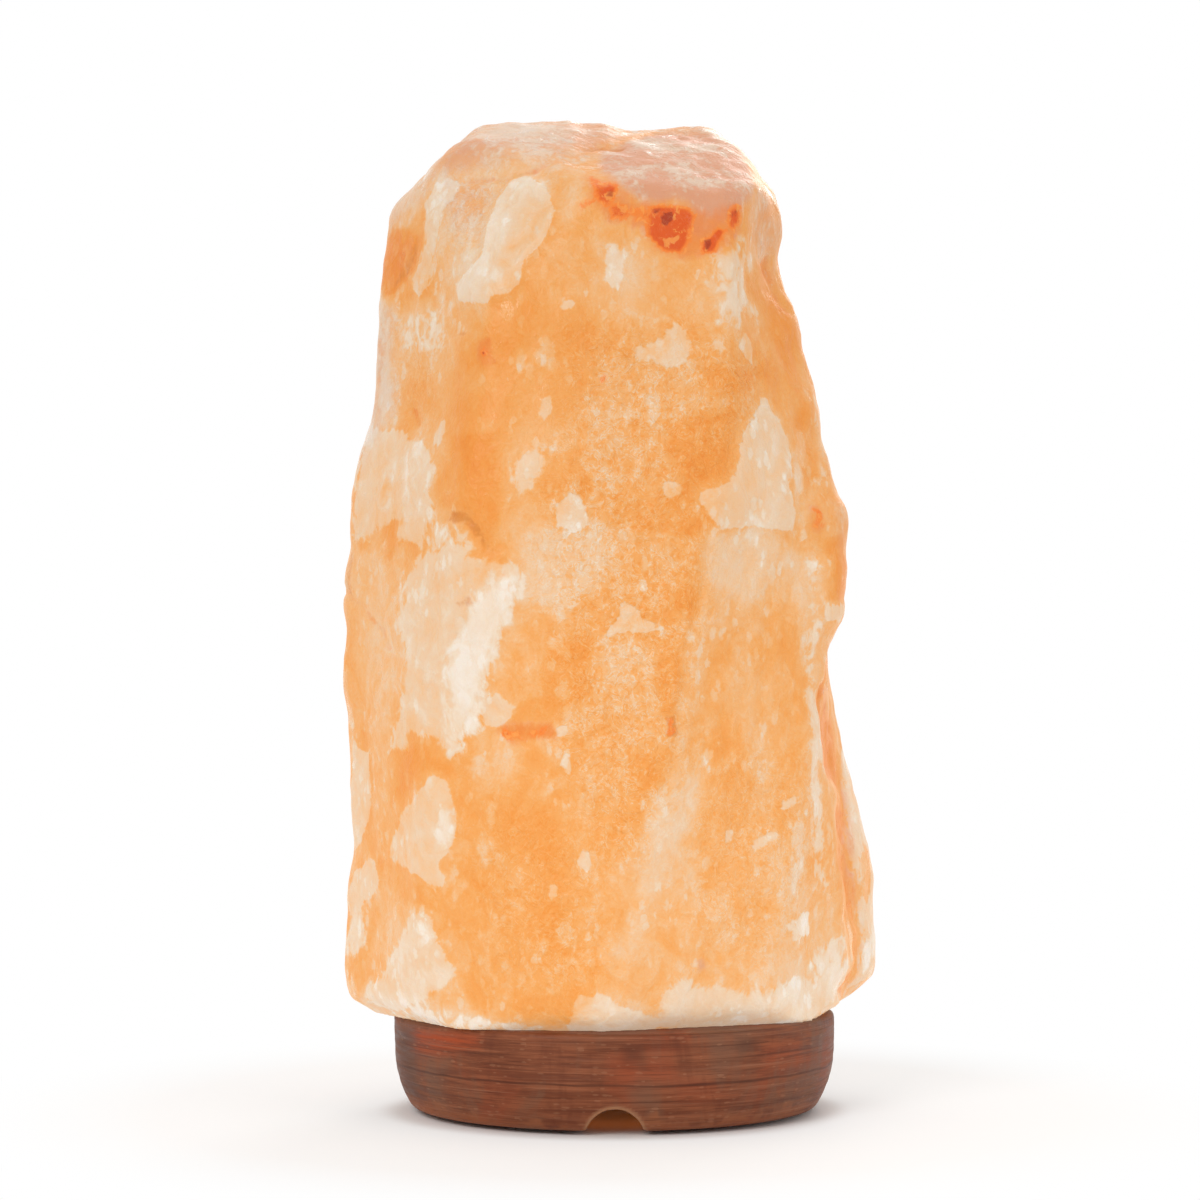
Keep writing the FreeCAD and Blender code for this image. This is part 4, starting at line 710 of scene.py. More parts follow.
def rock_salt():
    """Salt lit from inside: clear orange and frosted pale areas, red mineral spots and small crystals."""
    shade = Shade("rock_salt", IOR=1.54, Specular_IOR_Level=0.22, Emission_Strength=1.0,
                  Subsurface_Weight=0.2, Subsurface_Scale=0.005, Subsurface_Radius=(1.0, 0.4, 0.15))
    soft = shade.noise(60, 4, 0.6, 0.5, vector=shade.stretched((1, 1, 0.75)))
    mottle = shade.noise(170, 3, 0.55, 1.2, vector=shade.stretched((1, 1, 0.8)))
    fine = shade.noise(480, 3, 0.6, 0.8, vector=shade.stretched((1, 1, 0.75)))
    grain = shade.noise(1500, 2, 0.6)
    waves = shade.noise(250, 3, 0.55, 2.2)
    ripples = shade.noise(520, 2, 0.45, 1.8)
    crust = shade.attribute("crust")

    def added(total, value, amount, middle=0.0):
        """The total with some amount of the value's distance from its middle."""
        return shade.math("MULTIPLY_ADD", shade.from_middle(value, middle), amount, total)

    ragged = added(added(added(0.0, mottle, 1.1, 0.5), fine, 0.7, 0.5), soft, 0.6, 0.5)

    def mask(name, low, high, torn=1.0):
        """Where a mark is: solid inside, with an edge that noise makes ragged."""
        value = shade.attribute(name)
        edge = shade.times(value, shade.math("MULTIPLY_ADD", value, -4 * torn, 4 * torn))
        return shade.ramp(shade.math("MULTIPLY_ADD", ragged, edge, value), low, high)

    def threads(wave, width):
        """Thin winding lines, where the wave passes its middle."""
        return shade.ramp(shade.math("ABSOLUTE", shade.from_middle(wave)), width, 0.2 * width)

    pale, white = mask("pale", 0.35, 0.62), mask("white", 0.2, 0.8)
    lively = shade.ramp(shade.noise(75, 2), 0.42, 0.62, 0.2, 1.0)
    large = shade.flecks(190, 0.4, 0.3, shade.warped(0.005, 300, (1, 1, 0.55)))
    small = shade.flecks(520, 0.5, 0.4, shade.warped(0.0016, 700, (1, 1, 0.55)))
    coarse = shade.math("MULTIPLY_ADD", crust, 0.75, 0.25)
    rough = shade.times(coarse, shade.math("MULTIPLY_ADD", pale, -0.6, 1.0))
    worms = shade.times(threads(waves, 0.03), shade.ramp(fine, 0.44, 0.5))
    scraps = shade.times(threads(ripples, 0.05), shade.ramp(mottle, 0.53, 0.58, 0, 0.8))
    worms = shade.times(shade.math("MAXIMUM", worms, scraps), rough)

    # The tone of the salt, from clear and orange to frosted and white
    tone = shade.attribute("tone")
    tone = added(added(added(tone, soft, 0.75, 0.5), mottle, 0.45, 0.5), grain, 0.1, 0.5)
    tone = added(tone, shade.times(shade.from_middle(fine), rough), 0.3)
    tone = added(tone, mask("deep", 0.25, 0.85), -0.24)
    tone = added(added(tone, pale, 0.31), white, 0.3)
    tone = added(tone, shade.times(large, lively), 0.24)
    tone = added(tone, shade.times(small, lively), 0.22)
    tone = added(tone, worms, 0.26)
    tone = added(tone, shade.times(shade.ramp(ripples, 0.53, 0.6), rough), -0.14)
    colour = SALT_COLOURS[0][1]
    for (low, _), (high, paler) in zip(SALT_COLOURS, SALT_COLOURS[1:]):
        share = shade.math("DIVIDE", shade.from_middle(tone, low), high - low, clamp=True)
        colour = shade.blend(share, colour, paler)

    # The marks of other colours
    frost = added(added(shade.times(tone, 0.5), soft, 1.6, 0.5), fine, 1.0, 0.5)
    rosy = shade.blend(shade.ramp(frost, 0.12, 0.3), (0.73, 0.35, 0.22), (0.73, 0.45, 0.32))
    rosy = shade.blend(shade.ramp(frost, 0.3, 0.46), rosy, (0.78, 0.59, 0.46))
    rust = shade.painted(
        shade.blend(mask("red", 0.6, 1.1, 1.4), (0.95, 0.24, 0.03), (0.78, 0.10, 0.008)),
        (shade.ramp(fine, 0.52, 0.62, 0, 0.7), (0.98, 0.38, 0.08)),
        (mask("core", 0.35, 0.8, 1.4), (0.42, 0.035, 0.005)),
        (shade.times(worms, 0.5), (0.92, 0.45, 0.2)),
    )
    colour = shade.painted(
        colour,
        (shade.times(mask("pink", 0.0, 1.0, 0.5), 0.85), rosy),
        # Red halos round the spots, and painted shade along the creases
        (shade.times(mask("stain_and_crease_shade", 0.15, 0.8), 0.7), (0.86, 0.24, 0.045)),
        (shade.times(mask("gold", 0.25, 0.75), 0.7), (0.70, 0.23, 0.035)),
        (shade.times(mask("red", 0.2, 0.62, 1.8), 0.95), rust),
    )

    glow = shade.ramp(shade.height(), 0.02, 0.26, GLOW_LOW, GLOW_HIGH)
    lit = shade.made("ShaderNodeVectorMath", {0: colour, "Scale": glow}, operation="SCALE")
    shade.set("Emission Color", lit)
    shade.set("Base Color", shade.blend(1.0, colour, (SURFACE,) * 3, "MULTIPLY"))
    glassy = shade.math("MAXIMUM", large, shade.ramp(mottle, 0.62, 0.7))
    shade.set("Roughness", shade.ramp(glassy, 0.0, 1.0, 0.4, 0.14))
    normal = shade.bump(mottle, 0.4, 1.2 * MM)
    normal = shade.bump(shade.times(waves, rough), 0.7, 1.2 * MM, normal)
    normal = shade.bump(fine, 0.3, 0.4 * MM, normal)
    shade.set("Normal", shade.bump(grain, 0.25, 0.2 * MM, normal))
    return shade.material


# --- The wooden base ---

WOOD_VOXEL = 0.8 * MM
CHANNEL_RADIUS = 7 * MM
CHANNEL_MIDDLE = WOOD_LOW.z - 1 * MM  # the height of the middle of the channel's round top
RECESS_RADIUS = 30 * MM
LINE_HEIGHT = WOOD_LOW.z + 12.3 * MM  # of the fine groove round the side

# Marks on the front of the base, in the photograph's pixels, like the rock's marks: stains, knots and wear,
# with some painted shade and a painted highlight
RUDDY = {
    "shoulder": (1.0, 10, 412, 1026, 446, 1024, 482, 1030, 478, 1046, 440, 1054, 414, 1050),
    "middle": (0.5, 10, 620, 1066, 672, 1064, 676, 1078, 630, 1080),
    "right": (0.45, 10, 760, 1046, 800, 1040, 806, 1060, 766, 1066),
}
KNOTS_AND_SHADE = {
    "knot": (0.9, 9, 622, 1044, 642, 1044, 644, 1062, 624, 1064),
    "knot_2": (0.7, 8, 736, 1036, 756, 1034, 760, 1048, 740, 1052),
    # The seam is a painted shadow under the rock's foot, and the edge is painted shade down the base's left
    # side
    "seam": (0.7, 5, 540, 1040, 680, 1042, 680, 1047, 540, 1044),
    "edge": (0.9, 12, 388, 1026, 412, 1026, 420, 1100, 396, 1090),
}
WEAR_AND_HIGHLIGHT = {
    "foot": (1.0, 7, 408, 1098, 440, 1112, 500, 1122, 540, 1128, 540, 1136, 480, 1132, 430, 1122,
        404, 1104),
    # The top mark is a painted highlight along the base's rounded top edge
    "top": (0.7, 5, 470, 1030, 560, 1033, 640, 1028, 660, 1034, 600, 1040, 500, 1038),
}


def make_base():
    """The base: a fine copy of the turned solid, uneven as a hand-finished side is."""
    base = remeshed("turned_base", "wooden_base", WOOD_VOXEL)
    mesh = base.data
    places = coordinates(mesh)
    reach = np.hypot(places[:, 0], places[:, 1])
    below_top = smooth_step(WOOD_HIGH.z, WOOD_HIGH.z - 3 * MM, places[:, 2])
    outside = smooth_step(44 * MM, 51 * MM, reach) * below_top
    places = relaxed(mesh, places, 4, 0.5 * np.maximum(outside, 0.2))
    set_coordinates(mesh, places)
    uneven = 0.35 * noise_field(places, 22 * MM, 41, (1.6, 1.6, 0.7), 2)
    uneven += 0.12 * noise_field(places, 3.5 * MM, 42, (5, 5, 0.5), 2) - 0.2
    side = outside * smooth_step(WOOD_LOW.z, WOOD_LOW.z + 2 * MM, places[:, 2])
    places = places + coordinates(mesh, "normal") * (uneven * side * MM)[:, None]
    set_coordinates(mesh, places)
    x, y = photo_places(places)
    front = outside * smooth_step(0, -10 * MM, places[:, 1])
    for name, marks in (("ruddy", RUDDY), ("dark", KNOTS_AND_SHADE), ("worn", WEAR_AND_HIGHLIGHT)):
        store(mesh, name, front * marked(x, y, marks))
    # The recess and the inside of the channel glow warm: painted light from the bulb, seen through the
    # notch
    from_channel = np.hypot(places[:, 0], places[:, 2] - CHANNEL_MIDDLE) - CHANNEL_RADIUS
    in_recess = smooth_step(RECESS_RADIUS + 1.2 * MM, RECESS_RADIUS + 0.4 * MM, reach)
    in_channel = smooth_step(1.2 * MM, 0.4 * MM, from_channel)
    in_channel = in_channel * smooth_step(55 * MM, RECESS_RADIUS, reach) ** 2
    store(mesh, "painted_light_leak", np.maximum(in_recess, in_channel))
    # A paler line round the notch's mouth: wear on its edge, with a painted highlight
    store(mesh, "lip", smooth_step(1.2 * MM, 0.2 * MM, np.abs(from_channel - 0.2 * MM)) * outside)
    mesh.materials.append(stained_wood())
    return base


def stained_wood():
    """A dark, waxed stain over fine grain, which runs from side to side, with lines left by the turning."""
    shade = Shade("stained_wood", IOR=1.5, Specular_IOR_Level=0.16)
    grain = shade.noise(700, 4, 0.7, 0.1, vector=shade.stretched((0.04, 0.1, 1)))
    pores = shade.noise(2400, 3, 0.65, vector=shade.stretched((0.03, 0.06, 1)))
    lines = shade.noise(1500, 3, 0.6, vector=shade.stretched((0.012, 0.012, 1)))
    bands = shade.noise(330, 3, 0.6, vector=shade.stretched((0.06, 0.06, 1), (0.1, 0.5, 0.3)))
    stain = shade.noise(30, 4, 0.6, 0.8, vector=shade.stretched((0.8, 0.8, 1.2)))
    haze = shade.noise(60, 4, 0.65, 0.5, vector=shade.stretched((1, 1, 0.35), (0.4, 0.2, 0.1)))
    wobble = shade.noise(45, 2)
    # Small pale specks along the grain: painted highlights
    specks = shade.flecks(1400, 0.4, 0.16, shade.stretched((0.35, 0.35, 1)))

    height = shade.height()
    reach = shade.math("MULTIPLY_ADD", shade.from_middle(haze), -0.03, height)
    # Paler where the foot is worn, and along the top edge, where a highlight is painted
    worn = shade.math("MAXIMUM", shade.ramp(reach, 4.5 * MM, 1.0 * MM, 0, 0.6), shade.attribute("worn"))
    groove = shade.math("MULTIPLY_ADD", shade.from_middle(wobble), 2.5 * MM, height)
    groove = shade.math("ABSOLUTE", shade.from_middle(groove, LINE_HEIGHT))
    ruddy = shade.times(shade.attribute("ruddy"), shade.ramp(grain, 0.3, 0.6, 0.3, 0.9))
    colour = shade.painted(
        shade.blend(shade.ramp(grain, 0.36, 0.64), (0.147, 0.040, 0.0165), (0.247, 0.078, 0.034)),
        (shade.ramp(stain, 0.5, 0.66, 0, 0.45), (0.27, 0.052, 0.018)),
        (shade.ramp(haze, 0.46, 0.62, 0, 0.6), (0.17, 0.082, 0.048)),
        (shade.ramp(haze, 0.46, 0.34, 0, 0.5), (0.12, 0.030, 0.013)),
        (shade.ramp(bands, 0.54, 0.7, 0, 0.35), (0.27, 0.095, 0.048)),
        (shade.ramp(bands, 0.42, 0.3, 0, 0.35), (0.09, 0.024, 0.01)),
        (ruddy, (0.36, 0.06, 0.016)),
        # Dark knots, with painted shade under the rock and down the left side
        (shade.times(shade.attribute("dark"), 0.6), (0.06, 0.02, 0.011)),
        (shade.times(worn, 0.7), (0.36, 0.105, 0.034)),
        (shade.ramp(pores, 0.55, 0.7, 0, 0.5), (0.075, 0.022, 0.01)),
        (shade.ramp(lines, 0.56, 0.7, 0, 0.4), (0.32, 0.13, 0.07)),
        (shade.ramp(lines, 0.44, 0.32, 0, 0.5), (0.07, 0.02, 0.009)),
        # Painted highlights in the grain
        (shade.times(specks, 0.2), (0.42, 0.20, 0.11)),
        (shade.ramp(groove, 0.45 * MM, 0.1 * MM, 0, 0.55), (0.05, 0.015, 0.008)),
        # The notch's lip: wear, with a painted highlight
        (shade.times(shade.attribute("lip"), 0.7), (0.48, 0.24, 0.12)),
    )
    shade.set("Base Color", colour)
    shade.set("Roughness", shade.ramp(grain, 0.3, 0.7, 0.38, 0.6))
    # A warm glow in the recess and the channel: painted light from the bulb
    painted_light_leak = shade.blend(shade.ramp(grain, 0.3, 0.7), (0.16, 0.038, 0.007), (0.23, 0.064, 0.013))
    shade.set("Emission Color", painted_light_leak)
    shade.set("Emission Strength", shade.attribute("painted_light_leak"))
    normal = shade.bump(grain, 0.5, 0.3 * MM)
    normal = shade.bump(lines, 0.6, 0.25 * MM, normal)
    shade.set("Normal", shade.bump(pores, 0.4, 0.15 * MM, normal))
    return shade.material


# --- Shapes for the small pieces: each is a pair of an array of points and a list of faces ---

def filleted(points, radius, closed=True, steps=3):
    """The outline with its corners rounded off over about the radius."""
    points = np.array(points, float)
    rounded = []
    for i, corner in enumerate(points):
        if not closed and i in (0, len(points) - 1):
            rounded.append(corner)
            continue
        before, after = points[i - 1] - corner, points[(i + 1) % len(points)] - corner
        ends = [corner + way * min(radius / np.linalg.norm(way), 0.45) for way in (before, after)]
        for t in np.linspace(0, 1, steps + 1):
            rounded.append((1 - t) ** 2 * ends[0] + 2 * t * (1 - t) * corner + t**2 * ends[1])
    return np.array(rounded)


def dense(points, step, closed=True):
    """The outline with more points along its long edges."""
    filled = []
    ends = np.roll(points, -1, axis=0) if closed else points[1:]
    for start, end in zip(points, ends):
        count = max(1, round(np.linalg.norm(end - start) / step))
        filled += [start + (end - start) * i / count for i in range(count)]
    return np.array(filled if closed else filled + [points[-1]])


def ring_faces(rows, sides, closed):
    """The quads between rings of points, of which the last ring joins the first if closed."""
    return [
        (i * sides + j, i * sides + (j + 1) % sides, (i + 1) % rows * sides + (j + 1) % sides,
         (i + 1) % rows * sides + j)
        for i in range(rows if closed else rows - 1)
        for j in range(sides)
    ]


def turned(points, closed=True, sides=64, middle=(0, 0), wave=None):
    """An outline of (radius, height) turned about an upright line.

    The wave, where given, makes the radius to use from arrays of radii, heights and angles.
    """
    points = np.array(points, float)
    angle = np.arange(sides)[None, :] * (2 * math.pi / sides)
    radius, height, angle = np.broadcast_arrays(points[:, :1], points[:, 1:], angle)
    if wave:
        radius = wave(radius, height, angle)
    across, deep = middle[0] + radius * np.cos(angle), middle[1] + radius * np.sin(angle)
    return np.stack([across, deep, height], -1).reshape(-1, 3), ring_faces(len(points), sides, closed)


def lathe(outline, rounding, step=None, closed=True, sides=64, middle=(0, 0), wave=None):
    """Turns an outline with its corners rounded and, where a step is given, its long edges divided."""
    outline = filleted(outline, rounding, closed)
    if step:
        outline = dense(outline, step, closed)
    return turned(outline, closed, sides, middle, wave)


def directions(path):
    """The unit direction of a path at each of its points."""
    along = np.gradient(path, axis=0)
    return along / np.linalg.norm(along, axis=1)[:, None]


def tube(path, radius, sides=10):
    """A round wire along a path, closed at its ends."""
    path = np.array(path, float)
    along = directions(path)
    side = np.cross(along[0], (0.0, 1.0, 0.0))
    points, angle = [], np.arange(sides) * 2 * math.pi / sides
    for place, way in zip(path, along):
        side = side - way * side.dot(way)
        side /= np.linalg.norm(side)
        ring = np.cos(angle)[:, None] * side + np.sin(angle)[:, None] * np.cross(way, side)
        points.append(place + radius * ring)
    last = (len(path) - 1) * sides
    ends = [tuple(range(sides)), tuple(range(last, last + sides))]
    return np.concatenate(points), ring_faces(len(path), sides, False) + ends


def prism(corners, low, high, taper=1.0):
    """An upright block over an outline of (x, y), which narrows upwards by the taper."""
    count = len(corners)
    points = [(x, y, low) for x, y in corners] + [(x * taper, y * taper, high) for x, y in corners]
    sides = [(i, (i + 1) % count, (i + 1) % count + count, i + count) for i in range(count)]
    return np.array(points, float), sides + [tuple(range(count)), tuple(range(count, 2 * count))]


def moved(shape, shift, turn=None):
    """The shape turned by a matrix, and then shifted."""
    points = shape[0] if turn is None else shape[0] @ np.array(turn).T
    return points + np.array(shift), shape[1]


def built(name, shapes, finish, sharp=40.0):
    """One piece from several shapes, smooth up to the sharp angle."""
    grown = bmesh.new()
    for points, faces in shapes:
        made = [grown.verts.new(point) for point in points]
        for face in faces:
            grown.faces.new([made[i] for i in face])
    bmesh.ops.remove_doubles(grown, verts=grown.verts, dist=0.0005 * MM)
    bmesh.ops.recalc_face_normals(grown, faces=grown.faces)
    mesh = bpy.data.meshes.new(name)
    grown.to_mesh(mesh)
    grown.free()
    smoothed(mesh, sharp)
    mesh.materials.append(finish)
    return link_object(name, mesh)


SHARP = 35.0  # the angle in degrees from which an edge of a CAD mesh is a real one


def smoothed(mesh, sharp=40.0):
    shade_smooth(mesh)
    mesh.set_sharp_from_angle(angle=math.radians(sharp))


def carved(piece, cutters):
    """The piece less the cutters."""
    tool = built("tool", cutters, None)
    less = piece.modifiers.new("carve", "BOOLEAN")
    less.operation, less.solver, less.object = "DIFFERENCE", "EXACT", tool
    bake_modifiers(piece)
    smoothed(piece.data)
    bpy.data.objects.remove(tool)
    return piece


def bevelled(name, node, width, finish):
    """A copy of a CAD node's mesh with its edges rounded."""
    piece = copied(name, node)
    flat = piece.modifiers.new("flat", "DECIMATE")
    flat.decimate_type, flat.angle_limit = "DISSOLVE", math.radians(1)
    edge = piece.modifiers.new("edge", "BEVEL")
    edge.width, edge.segments, edge.limit_method = width, 2, "ANGLE"
    edge.angle_limit = math.radians(SHARP)
    even = piece.modifiers.new("even", "WEIGHTED_NORMAL")
    even.weight, even.keep_sharp = 100, True
    smoothed(piece.data, SHARP)
    bake_modifiers(piece)
    piece.data.materials.clear()
    piece.data.materials.append(finish)
    return piece


ANY = 0
QUARTERS = ((1, 1), (-1, 1), (-1, -1), (1, -1))
HALVES = ((-1, ANY), (1, ANY))


def boxes(node, signs):
    """The box of what each quarter or half of a CAD node holds, as its lowest and highest corners."""
    places = coordinates(NODES[node].data)
    for wanted in signs:
        there = np.ones(len(places), bool)
        for axis, sign in enumerate(wanted):
            if sign != ANY:
                there &= places[:, axis] * sign > 0
        yield places[there].min(0), places[there].max(0)


def thread(pitch, depth, low, high, fade):
    """The wave of a right-handed thread on a wall, between two heights."""

    def wave(radius, height, angle):
        shown = smooth_step(low, low + fade, height) * smooth_step(high, high - fade, height)
        return radius + depth * np.cos(2 * math.pi * height / pitch - angle) * shown

    return wave


# --- The plain materials ---

METAL = {"Metallic": 1.0}
# Each material: its paler and its darker colour, its roughness, how many grains it has to the metre, how
# deep they are in millimetres, and its shader's other values
FINISHES = {
    "zinc_steel": ((0.76, 0.75, 0.71), (0.60, 0.60, 0.60), 0.32, 900, 0.02, METAL),
    "nylon": ((0.80, 0.79, 0.75), (0.72, 0.71, 0.67), 0.5, 700, 0.02, {"Subsurface_Weight": 0.1}),
    "holder_plastic": ((0.93, 0.92, 0.885), (0.89, 0.875, 0.835), 0.26, 500, 0.012, {"Coat_Weight": 0.15}),
    "steatite": ((0.88, 0.86, 0.80), (0.80, 0.775, 0.70), 0.62, 1500, 0.03, {}),
    "brass": ((0.84, 0.67, 0.36), (0.72, 0.52, 0.24), 0.27, 1100, 0.012, METAL),
    "spring_steel": ((0.68, 0.67, 0.65), (0.54, 0.53, 0.52), 0.3, 1300, 0.012, METAL),
    "nickel": ((0.80, 0.78, 0.74), (0.68, 0.66, 0.61), 0.22, 800, 0.01, METAL),
    "solder": ((0.74, 0.74, 0.73), (0.55, 0.55, 0.55), 0.42, 1600, 0.04, METAL),
    "black_glass": ((0.06, 0.05, 0.06), (0.035, 0.028, 0.036), 0.12, 600, 0.01, {"Coat_Weight": 0.4}),
    "bulb_wire": ((0.66, 0.63, 0.58), (0.50, 0.47, 0.43), 0.35, 2500, 0.01, METAL),
}


@functools.cache
def finish(name):
    """One of the plain materials: two tones, clouded and grained, with an uneven gloss."""
    paler, darker, roughness, grains, depth, values = FINISHES[name]
    shade = Shade(name, **values)
    cloud = shade.noise(grains / 6, 3, 0.6, 0.4)
    grain = shade.noise(grains, 3, 0.6)
    share = shade.ramp(shade.math("MULTIPLY_ADD", grain, 0.4, shade.times(cloud, 0.6)), 0.4, 0.6)
    shade.set("Base Color", shade.blend(share, darker, paler))
    shade.set("Roughness", shade.ramp(grain, 0.3, 0.7, roughness * 0.8, roughness * 1.25))
    shade.set("Normal", shade.bump(grain, 0.4, depth * MM))
    return shade.material


@functools.cache
def felt():
    """Brown pressed felt, matted and a little fluffy."""
    shade = Shade("felt", Roughness=0.95, Specular_IOR_Level=0.1, Sheen_Weight=0.35)
    matted = shade.noise(2600, 4, 0.7, 1.5)
    worn = shade.noise(240, 3)
    colour = shade.blend(shade.ramp(matted, 0.34, 0.66), (0.10, 0.07, 0.055), (0.23, 0.175, 0.14))
    shade.set("Base Color", shade.blend(shade.ramp(worn, 0.5, 0.7, 0, 0.4), colour, (0.26, 0.21, 0.17)))
    shade.set("Normal", shade.bump(matted, 0.8, 0.3 * MM))
    return shade.material


@functools.cache
def clear_glass():
    """Thin clear glass, with the faintest cloud."""
    shade = Shade("clear_glass", Transmission_Weight=1.0, IOR=1.47)
    cloud = shade.noise(120, 3)
    shade.set("Base Color", shade.blend(cloud, (0.985, 0.99, 0.985), (1.0, 1.0, 1.0)))
    shade.set("Roughness", shade.ramp(cloud, 0.3, 0.7, 0.0, 0.03))
    return shade.material


@functools.cache
def tungsten():
    """The glowing filament, hotter in its middle."""
    shade = Shade("tungsten", Metallic=1.0, Roughness=0.5)
    shade.set("Base Color", shade.blend(shade.noise(3000, 2), (0.9, 0.72, 0.5), (1.0, 0.82, 0.55)))
    middle = shade.math("ABSOLUTE", shade.height("X"))
    heat = shade.blend(shade.ramp(middle, 3 * MM, 5.5 * MM), (1.0, 0.62, 0.27), (1.0, 0.42, 0.12))
    shade.set("Emission Color", heat)
    shade.set("Emission Strength", 9.0)
    return shade.material


# --- Pads, screws and plugs ---

def round_piece(low, high):
    """The middle and the radius of a round upright piece, from its box."""
    return (low[:2] + high[:2]) / 2, (high[0] - low[0]) / 2


def make_pads():
    """Felt pads with soft edges and a slightly uneven face."""

    def fluffy(radius, height, angle):
        return radius * (1 - 0.008 - 0.008 * np.sin(7 * angle + 900 * height) * np.cos(11 * angle))

    pads = []
    for low, high in boxes("felt_pads", QUARTERS):
        middle, radius = round_piece(low, high)
        outline = [(0, low[2]), (radius, low[2]), (radius, high[2]), (0, high[2])]
        pads.append(lathe(outline, 0.7 * MM, 0.8 * MM, False, 48, middle, fluffy))
    return built("felt_discs", pads, felt())


def cross(reach, half):
    """A cross-shaped outline."""
    arm = [(half, half), (half, reach), (-half, reach), (-half, half)]
    quarter = [(0, -1), (1, 0)]
    corners, turn = [], np.eye(2)
    for _ in range(4):
        corners += [tuple(turn @ np.array(p)) for p in arm[:3]]
        turn = turn @ np.array(quarter)
    return corners


SCREW_PITCH = 2.2 * MM
SCREW_CORE = 0.72  # the shank's radius between the threads, as a share of its full one
HEAD_HEIGHT = 2.5 * MM
RECESS_DEPTH = 1.5 * MM


def make_base_screws():
    """Pan-headed wood screws: a cross recess, a plain neck and a sharp coarse thread."""
    screws, recesses = [], []
    for low, high in boxes("base_screws", QUARTERS):
        middle, radius = round_piece(low, high)
        shank, under, tip = radius / 2, low[2] + HEAD_HEIGHT, high[2]
        start, taper = under + 9 * MM, tip - 6 * MM

        def threaded(r, z, angle, shank=shank, start=start, taper=taper, tip=tip):
            turns = z / SCREW_PITCH - angle / (2 * math.pi)
            flank = np.abs(turns - np.round(turns)) * 2
            thin = SCREW_CORE + (1 - SCREW_CORE) * np.clip(1 - 2.4 * flank, 0, 1)
            thin = np.where(z < start, 1.0, thin)
            slim = 1 - 0.8 * np.clip((z - taper) / (tip - taper), 0, 1)
            return np.where((z > start - 2 * MM) & (r > 0), shank * thin * slim, r)

        head = [(0, low[2]), (radius, low[2]), (radius, under), (shank, under)]
        head = filleted(head, 1.1 * MM, False, 5)
        shaft = dense(np.array([(shank, under), (shank, tip - 0.4 * MM)]), SCREW_PITCH / 7, False)
        outline = np.concatenate([head[:-1], shaft, [(0, tip)]])
        screws.append(turned(outline, False, 28, middle, threaded))
        recess = prism(cross(2.1 * MM, 0.42 * MM), low[2] - 0.1 * MM, low[2] + RECESS_DEPTH, 0.55)
        recesses.append(moved(recess, (*middle, 0)))
    return carved(built("wood_screws", screws, finish("zinc_steel")), recesses)


def make_plugs():
    """Nylon plugs with sawtooth ribs and grooves along them."""
    plugs = []
    for low, high in boxes("wall_plugs", QUARTERS):
        middle, radius = round_piece(low, high)
        bore = radius * 0.53

        def ribbed(r, z, angle, radius=radius):
            tooth = (z / (2.5 * MM)) % 1
            groove = smooth_step(0.94, 0.98, np.abs(np.cos(2 * angle)))
            return np.where(r > 0.8 * radius, r * (1 - 0.1 * tooth - 0.12 * groove), r)

        outline = [(bore, low[2]), (radius, low[2]), (radius, high[2]), (bore, high[2])]
        plugs.append(lathe(outline, 0.4 * MM, 0.35 * MM, True, 48, middle, ribbed))
    return built("screw_plugs", plugs, finish("nylon"))


# --- The lampholder ---

CAP_LOW, CAP_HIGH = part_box("holder_cap")
SLEEVE_LOW, SLEEVE_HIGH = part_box("holder_sleeve")
SHELL_LOW, SHELL_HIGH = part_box("screw_shell")
BULB_PITCH = 2.822 * MM
SHEET = 0.4 * MM
INLET_RADIUS = 4 * MM


def make_holder_cap():
    """The lower cover: a flange with a raised ring and a rounded inlet, and a cup with a coarse thread."""
    rim, cup, wall = CAP_HIGH.x, 12 * MM, 1.6 * MM
    low, top, seat = CAP_LOW.z, CAP_HIGH.z, CAP_LOW.z + 3 * MM
    ring = 0.5 * MM  # how deep the groove between the raised ring and the inlet is
    outline = [
        (INLET_RADIUS, low), (7 * MM, low), (7.6 * MM, low + ring), (19.4 * MM, low + ring), (20 * MM, low),
        (rim - 0.8 * MM, low), (rim, low + 0.8 * MM), (rim, seat), (cup, seat), (cup, top),
        (cup - wall, top), (cup - wall, seat), (INLET_RADIUS, seat),
    ]
    coarse = thread(2.2 * MM, 0.22 * MM, seat + 2 * MM, top - 0.5 * MM, 1 * MM)

    def wave(radius, height, angle):
        outer = (radius > cup - 0.5 * MM) & (radius < cup + 0.5 * MM) & (height > seat + 1 * MM)
        return np.where(outer, coarse(radius - 0.22 * MM, height, angle), radius)

    cover = lathe(outline, 0.45 * MM, 0.4 * MM, sides=96, wave=wave)
    return built("lower_cover", [cover], finish("holder_plastic"))


def make_sleeve():
    """The upper cover, with grip flutes round its lower half."""
    low, top, outer = SLEEVE_LOW.z, SLEEVE_HIGH.z, SLEEVE_HIGH.x
    inner, mouth, ledge = outer - 1.8 * MM, 9.6 * MM, SLEEVE_HIGH.z - 2 * MM
    outline = [
        (inner, low), (outer, low), (outer, low + 17.5 * MM), (outer - 0.5 * MM, low + 18.2 * MM),
        (outer - 0.5 * MM, top - 1.2 * MM), (outer - 1.7 * MM, top), (mouth, top), (mouth, ledge),
        (inner, ledge),
    ]

    def fluted(radius, height, angle):
        grip = smooth_step(low + 1.5 * MM, low + 3 * MM, height)
        grip = grip * smooth_step(low + 16.5 * MM, low + 15 * MM, height)
        flute = np.abs(np.sin(15 * angle)) ** 3
        return np.where(radius > outer - 0.4 * MM, radius - 0.5 * MM * grip * flute, radius)

    cover = lathe(outline, 0.5 * MM, 0.6 * MM, sides=240, wave=fluted)
    return built("upper_cover", [cover], finish("holder_plastic"))


